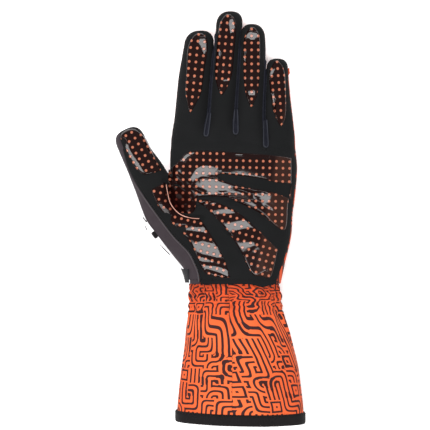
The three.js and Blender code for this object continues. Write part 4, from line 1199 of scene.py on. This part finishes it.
def stitched(name, path, step, length, radius):
    """Row of stitches along a path in mm: at every step a thread's short arch, a spindle with pointed ends."""
    run = run_of(path)
    place = np.arange(step / 2, run[-1], step)
    point = lambda at: np.stack([np.interp(at, run, path[:, i]) for i in range(3)], 1)
    middle, ahead = point(place), unit(point(place + 0.3) - point(place - 0.3))
    aside, over = sides_of(ahead)
    share = np.linspace(-1, 1, 7)
    angle = np.linspace(0, 2 * math.pi, 7)[:-1]
    wide = radius * np.sqrt(np.clip(1 - share**2, 0, 1))
    ring = np.cos(angle)[None, :, None] * aside[:, None, None] + np.sin(angle)[None, :, None] * over[:, None, None]
    points = middle[:, None, None] + share[None, :, None, None] * ahead[:, None, None] * length / 2
    arch = (radius * (1 - share**2) * 0.6)[None, :, None, None]
    points = points + wide[None, :, None, None] * ring + over[:, None, None] * arch

    def from_middle(c):
        """Direction from the nearest stitch's middle line."""
        near = np.argmin(((c[:, None, :] - middle[None]) ** 2).sum(2), axis=1)
        off = c - middle[near]
        return off - (off * ahead[near]).sum(1)[:, None] * ahead[near] * 0.9

    make(name, list(points), "black_tape", closed=range(len(points)), out=from_middle)


def on_hand(xs, ys, lift, count=160):
    """Path over the palm side through plan points in mm, a little above the cloth."""
    x, y = (np.interp(np.linspace(0, 1, count), np.linspace(0, 1, len(c)), c) for c in (xs, ys))
    return np.stack([x, y, hand_height(x, y, 1) + lift], 1)


# Seam between the suede and the charcoal cloth, and the rows of stitches: step, length and radius in mm
FINE_STITCH, HEM_STITCH = (2.6, 1.9, 0.17), (2.8, 2.0, 0.2)
SEAM_RADIUS, SEAM_END = 0.55, -79.0  # its radius, and mm across where it ends near the thumb's tip
HEM_ROW, HEM_RISE = -0.9, 0.35  # share along the cuff of the hem's stitches, and how far they stand off the tape
seam_x, seam_y = plan_line(SUEDE_EDGE, 160)
keep = (seam_x > SEAM_END) & (seam_y > 0.5)
seam_x, seam_y = seam_x[keep], seam_y[keep]
# The seam's paler charcoal is a painted highlight along its ridge
tube("side_seam", on_hand(seam_x - 0.5, seam_y - 0.3, 0.15), SEAM_RADIUS, "charcoal_seam", squash=0.6)
stitched("side_stitches", on_hand(seam_x + 1.5, seam_y + 0.9, 0.0), *FINE_STITCH)
stitched("wrist_stitches", on_hand([-32.5, 29.5], [2.6, 2.6], 0.0), *FINE_STITCH)
hem_angle = np.linspace(-math.pi, math.pi, 500)
hx, hy, hz = cuff_point(hem_angle, HEM_ROW + 0 * hem_angle)
nx, nz = out_of_cuff(hem_angle)
hem_path = np.stack([hx + nx * (TAPE + HEM_RISE), hy, np.maximum(hz + nz * (TAPE + HEM_RISE), HEM_RISE)], 1)
stitched("hem_stitches", hem_path, *HEM_STITCH)


def srgb(value):
    """Linear colour of an sRGB hex value."""
    c = np.array([int(value[i : i + 2], 16) for i in (1, 3, 5)]) / 255.0
    return tuple(np.where(c <= 0.04045, c / 12.92, ((c + 0.055) / 1.055) ** 2.4)) + (1.0,)


def add(tree, kind, *values, inputs=None, **settings):
    """Outputs of a new shader node of a kind with its settings. What goes into it is given in order, or by name or
    number in inputs, and each is a value or another node's output, which is linked."""
    made = tree.nodes.new("ShaderNode" + kind)
    for key, value in settings.items():
        setattr(made, key, value)
    for key, value in [*enumerate(values), *(inputs or {}).items()]:
        if isinstance(value, bpy.types.NodeSocket):
            tree.links.new(value, made.inputs[key])
        else:
            made.inputs[key].default_value = value
    return made.outputs


def finish(name, **values):
    """New material with a principled shader, its values set on its own sockets."""
    material = bpy.data.materials.new(name)
    material.use_nodes = True
    shader = material.node_tree.nodes["Principled BSDF"]
    for key, value in values.items():
        shader.inputs[key.replace("_", " ")].default_value = value
    return material, material.node_tree, shader


def grain(tree, size_mm, detail):
    """Noise whose grains are about a size in mm, on the object's own coordinates in metres."""
    place = add(tree, "TexCoord")["Object"]
    return add(tree, "TexNoise", inputs={"Vector": place, "Scale": 1000.0 / size_mm, "Detail": detail})["Fac"]


def speckled(tree, size_mm, detail, one, other):
    """Colour that varies between two sRGB values over grains of a size in mm."""
    share = grain(tree, size_mm, detail)
    return add(tree, "Mix", inputs={0: share, 6: srgb(one), 7: srgb(other)}, data_type="RGBA")[2]


def dress(tree, shader, colour, height=None, strength=0.0, distance_mm=0.0):
    """Gives a shader its colour, and the relief of a height at a strength, whose full height is a distance in mm."""
    tree.links.new(colour, shader.inputs["Base Color"])
    if height:
        relief = {"Height": height, "Strength": strength, "Distance": distance_mm / 1000.0}
        tree.links.new(add(tree, "Bump", inputs=relief)[0], shader.inputs["Normal"])


def cloth(name, look, relief, **values):
    """New material of cloth: look gives the size in mm and the detail of the grains over which it varies between two
    colours, and relief the size of its finer grains, their strength and their height in mm."""
    material, tree, shader = finish(name, **values)
    dress(tree, shader, speckled(tree, *look), grain(tree, relief[0], 2.0), *relief[1:])
    return material


# Microfibre suede, brushed: matt and near black, with a faint nap that catches light at grazing angles
suede, tree, shader = finish(
    "brushed_microfibre_suede", Roughness=0.92, IOR=1.45, Specular_IOR_Level=0.12,
    Sheen_Weight=0.08, Sheen_Roughness=0.45, Sheen_Tint=srgb("#8c8c90"),
)
nap, rubbed = speckled(tree, 9.0, 4.0, "#121313", "#171718"), speckled(tree, 34.0, 2.0, "#0e0f0f", "#1b1b1c")
both = add(tree, "Mix", inputs={0: 0.5, 6: nap, 7: rubbed}, data_type="RGBA")[2]
dress(tree, shader, both, grain(tree, 0.9, 3.0), 0.5, 0.25)

# Knitted polyester, charcoal: matt with a fine rib
charcoal_cloth = cloth(
    "knitted_charcoal_polyester", (6.0, 3.0, "#2c2629", "#342d31"), (0.7, 0.4, 0.2),
    Roughness=0.85, IOR=1.45, Specular_IOR_Level=0.25, Sheen_Weight=0.08, Sheen_Tint=srgb("#a79fa8"),
)

# Seam between the thumb's charcoal panel and the suede: the charcoal cloth rolled over, coloured paler than the panel
# as a painted highlight along its ridge
seam_cloth_painted_highlight = cloth(
    "turned_charcoal_polyester_painted_highlight", (5.0, 3.0, "#383336", "#443f41"), (0.7, 0.4, 0.2),
    Roughness=0.8, IOR=1.45, Specular_IOR_Level=0.3,
)

# Knitted polyester, navy black, on the strips between fingers: matt, a shade bluer than the suede beside it
navy_cloth = cloth(
    "knitted_navy_polyester", (4.0, 3.0, "#13141a", "#1f2029"), (0.7, 0.4, 0.2),
    Roughness=0.85, IOR=1.45, Specular_IOR_Level=0.25,
)

# Woven nylon tape, black: fine ribs across it break its edge into small lights and darks
tape_cloth, tree, shader = finish("woven_black_nylon_tape", Roughness=0.8, IOR=1.5, Specular_IOR_Level=0.3)
waves = {"Vector": add(tree, "UVMap", uv_map="plan")[0], "Scale": 0.26, "Distortion": 0.6}
ribs = add(tree, "TexWave", inputs=waves, bands_direction="X")["Fac"]
dress(tree, shader, speckled(tree, 3.0, 3.0, "#0a0708", "#110e0f"), ribs, 0.5, 0.3)

TILE = 10.2  # one cell of the print in mm, three lines across
WOBBLE = 2.64  # mm over which the print's lines wander
KINDS = (0.3, 0.6, 0.92)  # shares of the cells up to which each kind but the last is drawn
BOLD = (0.2, 0.33)  # half width of the fine lines and of the heavy ones, as a share of their spacing
INK_EDGE = 24.0  # sharpness of a line's edge


def labyrinth(tree):
    """Share of ink of a maze of parallel lines. Each cell holds one kind at random: bends round two opposite
    corners, bends round one corner, straight lines, or nested squares. All meet a cell's sides at the same places."""
    place = add(tree, "UVMap", uv_map="plan")[0]
    noise = add(tree, "TexNoise", inputs={"Vector": place, "Scale": 0.05, "Detail": 2.0}, noise_dimensions="2D")
    shift = add(tree, "VectorMath", noise["Color"], (0.5, 0.5, 0.5), operation="SUBTRACT")[0]
    shift = add(tree, "VectorMath", inputs={0: shift, "Scale": WOBBLE}, operation="SCALE")[0]
    place = add(tree, "VectorMath", place, shift, operation="ADD")[0]
    place = add(tree, "VectorMath", place, (TILE, TILE, TILE), operation="DIVIDE")[0]
    cell = add(tree, "VectorMath", place, operation="FLOOR")[0]
    chance = add(tree, "TexWhiteNoise", inputs={"Vector": cell}, noise_dimensions="2D")
    within = add(tree, "SeparateXYZ", add(tree, "VectorMath", place, operation="FRACTION")[0])
    draw = add(tree, "SeparateColor", chance["Color"])

    def corner(a, b, power):
        """Distance from a corner: the root of a and b each to a power; a high power squares the bends off."""
        a, b = (add(tree, "Math", c, power, operation="POWER")[0] for c in (a, b))
        return add(tree, "Math", add(tree, "Math", a, b, operation="ADD")[0], 1.0 / power, operation="POWER")[0]

    def pick(one, other, edge):
        """One value where the cell's kind is under an edge, the other above it."""
        over = add(tree, "Math", chance["Value"], edge, operation="GREATER_THAN")[0]
        return add(tree, "Mix", inputs={0: over, 2: one, 3: other}, data_type="FLOAT")[0]

    def off(value, middle):
        """How far a value is from a middle one."""
        return add(tree, "Math", add(tree, "Math", value, middle, operation="SUBTRACT")[0], operation="ABSOLUTE")[0]

    # Shares across and up the cell, measured from the other side where the draw is over a half
    x, y = (off(within[i], add(tree, "Math", draw[i + 1], 0.5, operation="GREATER_THAN")[0]) for i in (0, 1))
    near = corner(x, y, 6.0)
    rest_x, rest_y = (add(tree, "Math", 1.0, c, operation="SUBTRACT")[0] for c in (x, y))
    far = corner(rest_x, rest_y, 2.0)
    ring = add(tree, "Math", off(x, 0.5), off(y, 0.5), operation="MAXIMUM")[0]
    nested = add(tree, "Math", 0.5, ring, operation="SUBTRACT")[0]
    nearer = add(tree, "Math", near, far, operation="MINIMUM")[0]
    distance = pick(nearer, pick(near, pick(x, nested, KINDS[2]), KINDS[1]), KINDS[0])
    third = add(tree, "Math", add(tree, "Math", distance, 3.0, operation="MULTIPLY")[0], operation="FRACT")[0]
    heavy = add(tree, "TexNoise", inputs={"Vector": place, "Scale": 1.1, "Detail": 0.0}, noise_dimensions="2D")["Fac"]
    turn = {"Value": heavy, "From Min": 0.66, "From Max": 0.7, "To Min": BOLD[0], "To Max": BOLD[1]}
    depth = add(tree, "Math", add(tree, "MapRange", inputs=turn)[0], off(third, 0.5), operation="SUBTRACT")[0]
    return add(tree, "Math", depth, INK_EDGE, 0.5, operation="MULTIPLY_ADD", use_clamp=True)[0]


# Printed stretch polyester: warm orange cloth with dark brown lines of a maze, dyed in, so as matt as the cloth, and
# a deeper red painted in as shade at the wrist and toward the cuff's sides
printed, tree, shader = finish(
    "dyed_orange_polyester", Roughness=0.75, IOR=1.45, Specular_IOR_Level=0.2,
    Sheen_Weight=0.12, Sheen_Tint=srgb("#ffb48a"),
)
place = add(tree, "SeparateXYZ", add(tree, "TexCoord")["Object"])
# Painted shade: the ground turns a deeper red toward the wrist, over the whole back print above it, and toward the
# cuff's sides
wrist_shade = add(tree, "MapRange", inputs={"Value": place[1], "From Min": -0.085, "From Max": -0.052})[0]
off_middle = add(tree, "Math", add(tree, "Math", place[0], 0.018, operation="SUBTRACT")[0], operation="ABSOLUTE")[0]
side_shade = add(tree, "MapRange", inputs={"Value": off_middle, "From Min": 0.015, "From Max": 0.05})[0]
side_shade = add(tree, "Math", side_shade, 0.8, operation="MULTIPLY")[0]
painted_shade = add(tree, "Math", wrist_shade, side_shade, operation="MAXIMUM")[0]
lit_ground, shaded_ground = speckled(tree, 18.0, 2.0, "#c8562b", "#d26437"), speckled(tree, 18.0, 2.0, "#b33e1e", "#c04b27")
ground = add(tree, "Mix", inputs={0: painted_shade, 6: lit_ground, 7: shaded_ground}, data_type="RGBA")[2]
lines = speckled(tree, 7.0, 1.0, "#35100c", "#2c2024")
inked = add(tree, "Mix", inputs={0: labyrinth(tree), 6: ground, 7: lines}, data_type="RGBA")[2]
dress(tree, shader, inked, grain(tree, 0.8, 2.0), 0.35, 0.2)

# White stretch polyester without print, where the thumb's back shows past its charcoal side: the glove's palest cloth
plain_white = cloth(
    "plain_white_polyester", (6.0, 2.0, "#dedcde", "#e8e6e7"), (0.8, 0.35, 0.2),
    Roughness=0.8, IOR=1.45, Specular_IOR_Level=0.25,
)

# The same white cloth on the thumb's back, with scattered pieces of the maze dyed in near black
white_cloth, tree, shader = finish("knitted_white_polyester", Roughness=0.8, IOR=1.45, Specular_IOR_Level=0.25)
scattered = add(tree, "Math", grain(tree, 30.0, 0.0), 0.6, operation="GREATER_THAN")[0]
marks = add(tree, "Math", labyrinth(tree), scattered, operation="MULTIPLY")[0]
inked = add(tree, "Mix", inputs={0: marks, 6: srgb("#e4e2e3"), 7: srgb("#2a262b")}, data_type="RGBA")[2]
dress(tree, shader, inked, grain(tree, 0.8, 2.0), 0.35, 0.2)

# Screen-printed silicone: clear and glossy over black, with orange dots 2 mm across that stand a little proud. In the
# fold by the thumb's crotch the dots are darkened and the gloss is dimmed as painted shade; toward the little finger
# the film looks brown
FOLD_PLACE = ((-42.0 + ORIGIN[0]) / 1000, (59.0 + ORIGIN[1]) / 1000, 0.024)  # the fold's deepest point
DOT_RADIUS, DOT_EDGE = 0.195, 18.0  # as a share of the dots' spacing, and the sharpness of its edge
silicone_film, tree, shader = finish("clear_silicone_over_dots", Roughness=0.13, IOR=1.43, Specular_IOR_Level=0.33)
within = add(tree, "VectorMath", add(tree, "UVMap", uv_map="plan")[0], operation="FRACTION")[0]
off_x, off_y = (add(tree, "Math", c, 0.5, operation="SUBTRACT")[0] for c in add(tree, "SeparateXYZ", within)[:2])
off_x, off_y = (add(tree, "Math", c, c, operation="MULTIPLY")[0] for c in (off_x, off_y))
away = add(tree, "Math", add(tree, "Math", off_x, off_y, operation="ADD")[0], operation="SQRT")[0]
inward = add(tree, "Math", DOT_RADIUS, away, operation="SUBTRACT")[0]
dot = add(tree, "Math", inward, DOT_EDGE, 0.5, operation="MULTIPLY_ADD", use_clamp=True)[0]
place = add(tree, "TexCoord")["Object"]
# Painted shade round the fold's deepest point: the dots darken toward #4a1c16 and a grey specular tint dims the
# reflections
fold = add(tree, "VectorMath", place, FOLD_PLACE, operation="DISTANCE")["Value"]
lit = add(tree, "MapRange", inputs={"Value": fold, "From Min": 0.004, "From Max": 0.018})[0]
orange = speckled(tree, 12.0, 1.0, "#8f513d", "#a6664f")
orange = add(tree, "Mix", inputs={0: lit, 6: srgb("#4a1c16"), 7: orange}, data_type="RGBA")[2]
fold_shade_tint = add(tree, "MapRange", inputs={"Value": fold, "From Min": 0.008, "From Max": 0.022})[0]
fold_shade_tint = add(tree, "Mix", inputs={0: fold_shade_tint, 6: srgb("#303030"), 7: srgb("#ffffff")}, data_type="RGBA")[2]
tree.links.new(fold_shade_tint, shader.inputs["Specular Tint"])
split = add(tree, "SeparateXYZ", place)
outward = add(tree, "Math", split[1], -0.18, split[0], operation="MULTIPLY_ADD")[0]
# Share of browner film toward the little finger
browner = add(tree, "MapRange", inputs={"Value": outward, "From Min": 0.038, "From Max": 0.0415})[0]
film = add(tree, "Mix", inputs={0: browner, 6: srgb("#150605"), 7: srgb("#2a1813")}, data_type="RGBA")[2]
dotted = add(tree, "Mix", inputs={0: dot, 6: film, 7: orange}, data_type="RGBA")[2]
dome = add(tree, "Math", 1.0, add(tree, "Math", away, 0.25, operation="DIVIDE")[0], operation="SUBTRACT")[0]
dome = add(tree, "Math", add(tree, "Math", dome, 0.0, operation="MAXIMUM")[0], 0.5, operation="POWER")[0]
dress(tree, shader, dotted, dome, 0.25, 0.25)

# Rolled edge of the thenar's silicone in the thumb's crotch: bare clear silicone, coloured pale pink all over as a
# painted highlight along the edge
lip_painted_highlight, tree, shader = finish("rolled_clear_silicone_painted_highlight", Roughness=0.25, IOR=1.43, Specular_IOR_Level=0.5)
dress(tree, shader, speckled(tree, 5.0, 2.0, "#a8705f", "#d9a898"))

# Piping round the slots between the fingers: the navy stretch cloth rolled tight, coloured a shade lighter all over as
# a painted highlight on its ridge
piping_painted_highlight = cloth(
    "rolled_navy_piping_painted_highlight", (3.0, 2.0, "#222329", "#2c2d34"), (0.7, 0.3, 0.15),
    Roughness=0.7, IOR=1.45, Specular_IOR_Level=0.3,
)

# Woven nylon webbing of the wrist strap: black, with a coarser and deeper grain than the cloths
webbing = cloth(
    "woven_black_webbing", (3.0, 3.0, "#141416", "#202023"), (1.2, 0.5, 0.3),
    Roughness=0.8, IOR=1.5, Specular_IOR_Level=0.3,
)

# Material of each look
dressed = {
    "suede": suede, "silicone": silicone_film, "silicone_lip_highlight": lip_painted_highlight,
    "charcoal_stretch": charcoal_cloth, "charcoal_seam": seam_cloth_painted_highlight,
    "white_stretch": white_cloth, "white_plain": plain_white, "orange_print": printed,
    "navy_stretch": navy_cloth, "navy_piping_highlight": piping_painted_highlight, "black_tape": tape_cloth, "strap_web": webbing,
}
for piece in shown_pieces():
    piece.data.materials.clear()
    piece.data.materials.append(dressed[piece["look"]])

# Floor of matt white paper, just under the glove, with a little light of its own so that it stays white to its edges
floor_x, floor_y = np.meshgrid(np.linspace(-2.5, 2.5, 3), np.linspace(-2.5, 2.5, 3))
floor_points = stack(floor_x, floor_y, -0.0002).reshape(-1, 3)
floor_mesh = bpy.data.meshes.new("floor")
floor_mesh.from_pydata(floor_points.tolist(), [], grid_faces(3, 3).tolist())
floor = bpy.data.objects.new("floor", floor_mesh)
bpy.context.collection.objects.link(floor)
paper, _, _ = finish(
    "matt_white_paper", Base_Color=srgb("#f6f6f6"), Roughness=0.95, Specular_IOR_Level=0.1,
    Emission_Color=srgb("#ffffff"), Emission_Strength=0.2,
)
floor_mesh.materials.append(paper)

world = bpy.data.worlds.new("studio")
bpy.context.scene.world = world
world.use_nodes = True
background = world.node_tree.nodes["Background"]
background.inputs["Color"].default_value = srgb("#ffffff")
background.inputs["Strength"].default_value = 0.35


def softbox(name, place, target, width, height, power, glossy=True, diffuse=1.0):
    """Rectangular soft light at a place, turned to a target, with its size in metres and its power in watts."""
    light = bpy.data.lights.new(name, "AREA")
    light.shape, light.size, light.size_y, light.energy = "RECTANGLE", width, height, power
    holder = bpy.data.objects.new(name, light)
    holder.location = place
    holder.rotation_euler = (Vector(target) - Vector(place)).to_track_quat("-Z", "Y").to_euler()
    holder.visible_glossy = glossy
    light.diffuse_factor = diffuse
    bpy.context.collection.objects.link(holder)


# The strip and the small panel at the left are what the silicone mirrors; the other lights give no reflections
softbox("strip", (-0.05, -0.34, 1.5), (0, 0, 0), 1.0, 0.32, 14.0, diffuse=0.6)
softbox("left_panel", (-1.092, -0.079, 0.79), (-0.06, 0.05, 0.02), 0.22, 0.22, 2.1, diffuse=0.0)
softbox("key", (-0.3, 1.1, 1.3), (0, 0, 0), 1.1, 0.8, 22.0, glossy=False)
softbox("left", (-1.4, -0.2, 1.2), (0, 0, 0), 0.8, 0.8, 14.0, glossy=False)
softbox("right", (1.4, -0.2, 1.2), (0, 0, 0), 0.8, 0.8, 14.0, glossy=False)

PIXEL = 0.73  # mm of the glove for each pixel of the photo
PHOTO_SIZE = 430  # pixels
PHOTO_MIDDLE = (-13.87, 49.64)  # mm across and along the hand
HAND_LEVEL = 0.02  # metres up where the photo's scale holds
CAMERA_HEIGHT = 2.6  # metres above that
SENSOR = 36.0
camera_data = bpy.data.cameras.new("camera")
camera = bpy.data.objects.new("camera", camera_data)
middle_x, middle_y = ((PHOTO_MIDDLE[i] + ORIGIN[i]) / 1000 for i in (0, 1))
camera.location = (middle_x, middle_y, CAMERA_HEIGHT + HAND_LEVEL)
camera_data.sensor_width = SENSOR
camera_data.lens = SENSOR * CAMERA_HEIGHT / (PHOTO_SIZE * PIXEL / 1000)
bpy.context.collection.objects.link(camera)
bpy.context.scene.camera = camera
bpy.context.scene.view_settings.view_transform = "Standard"
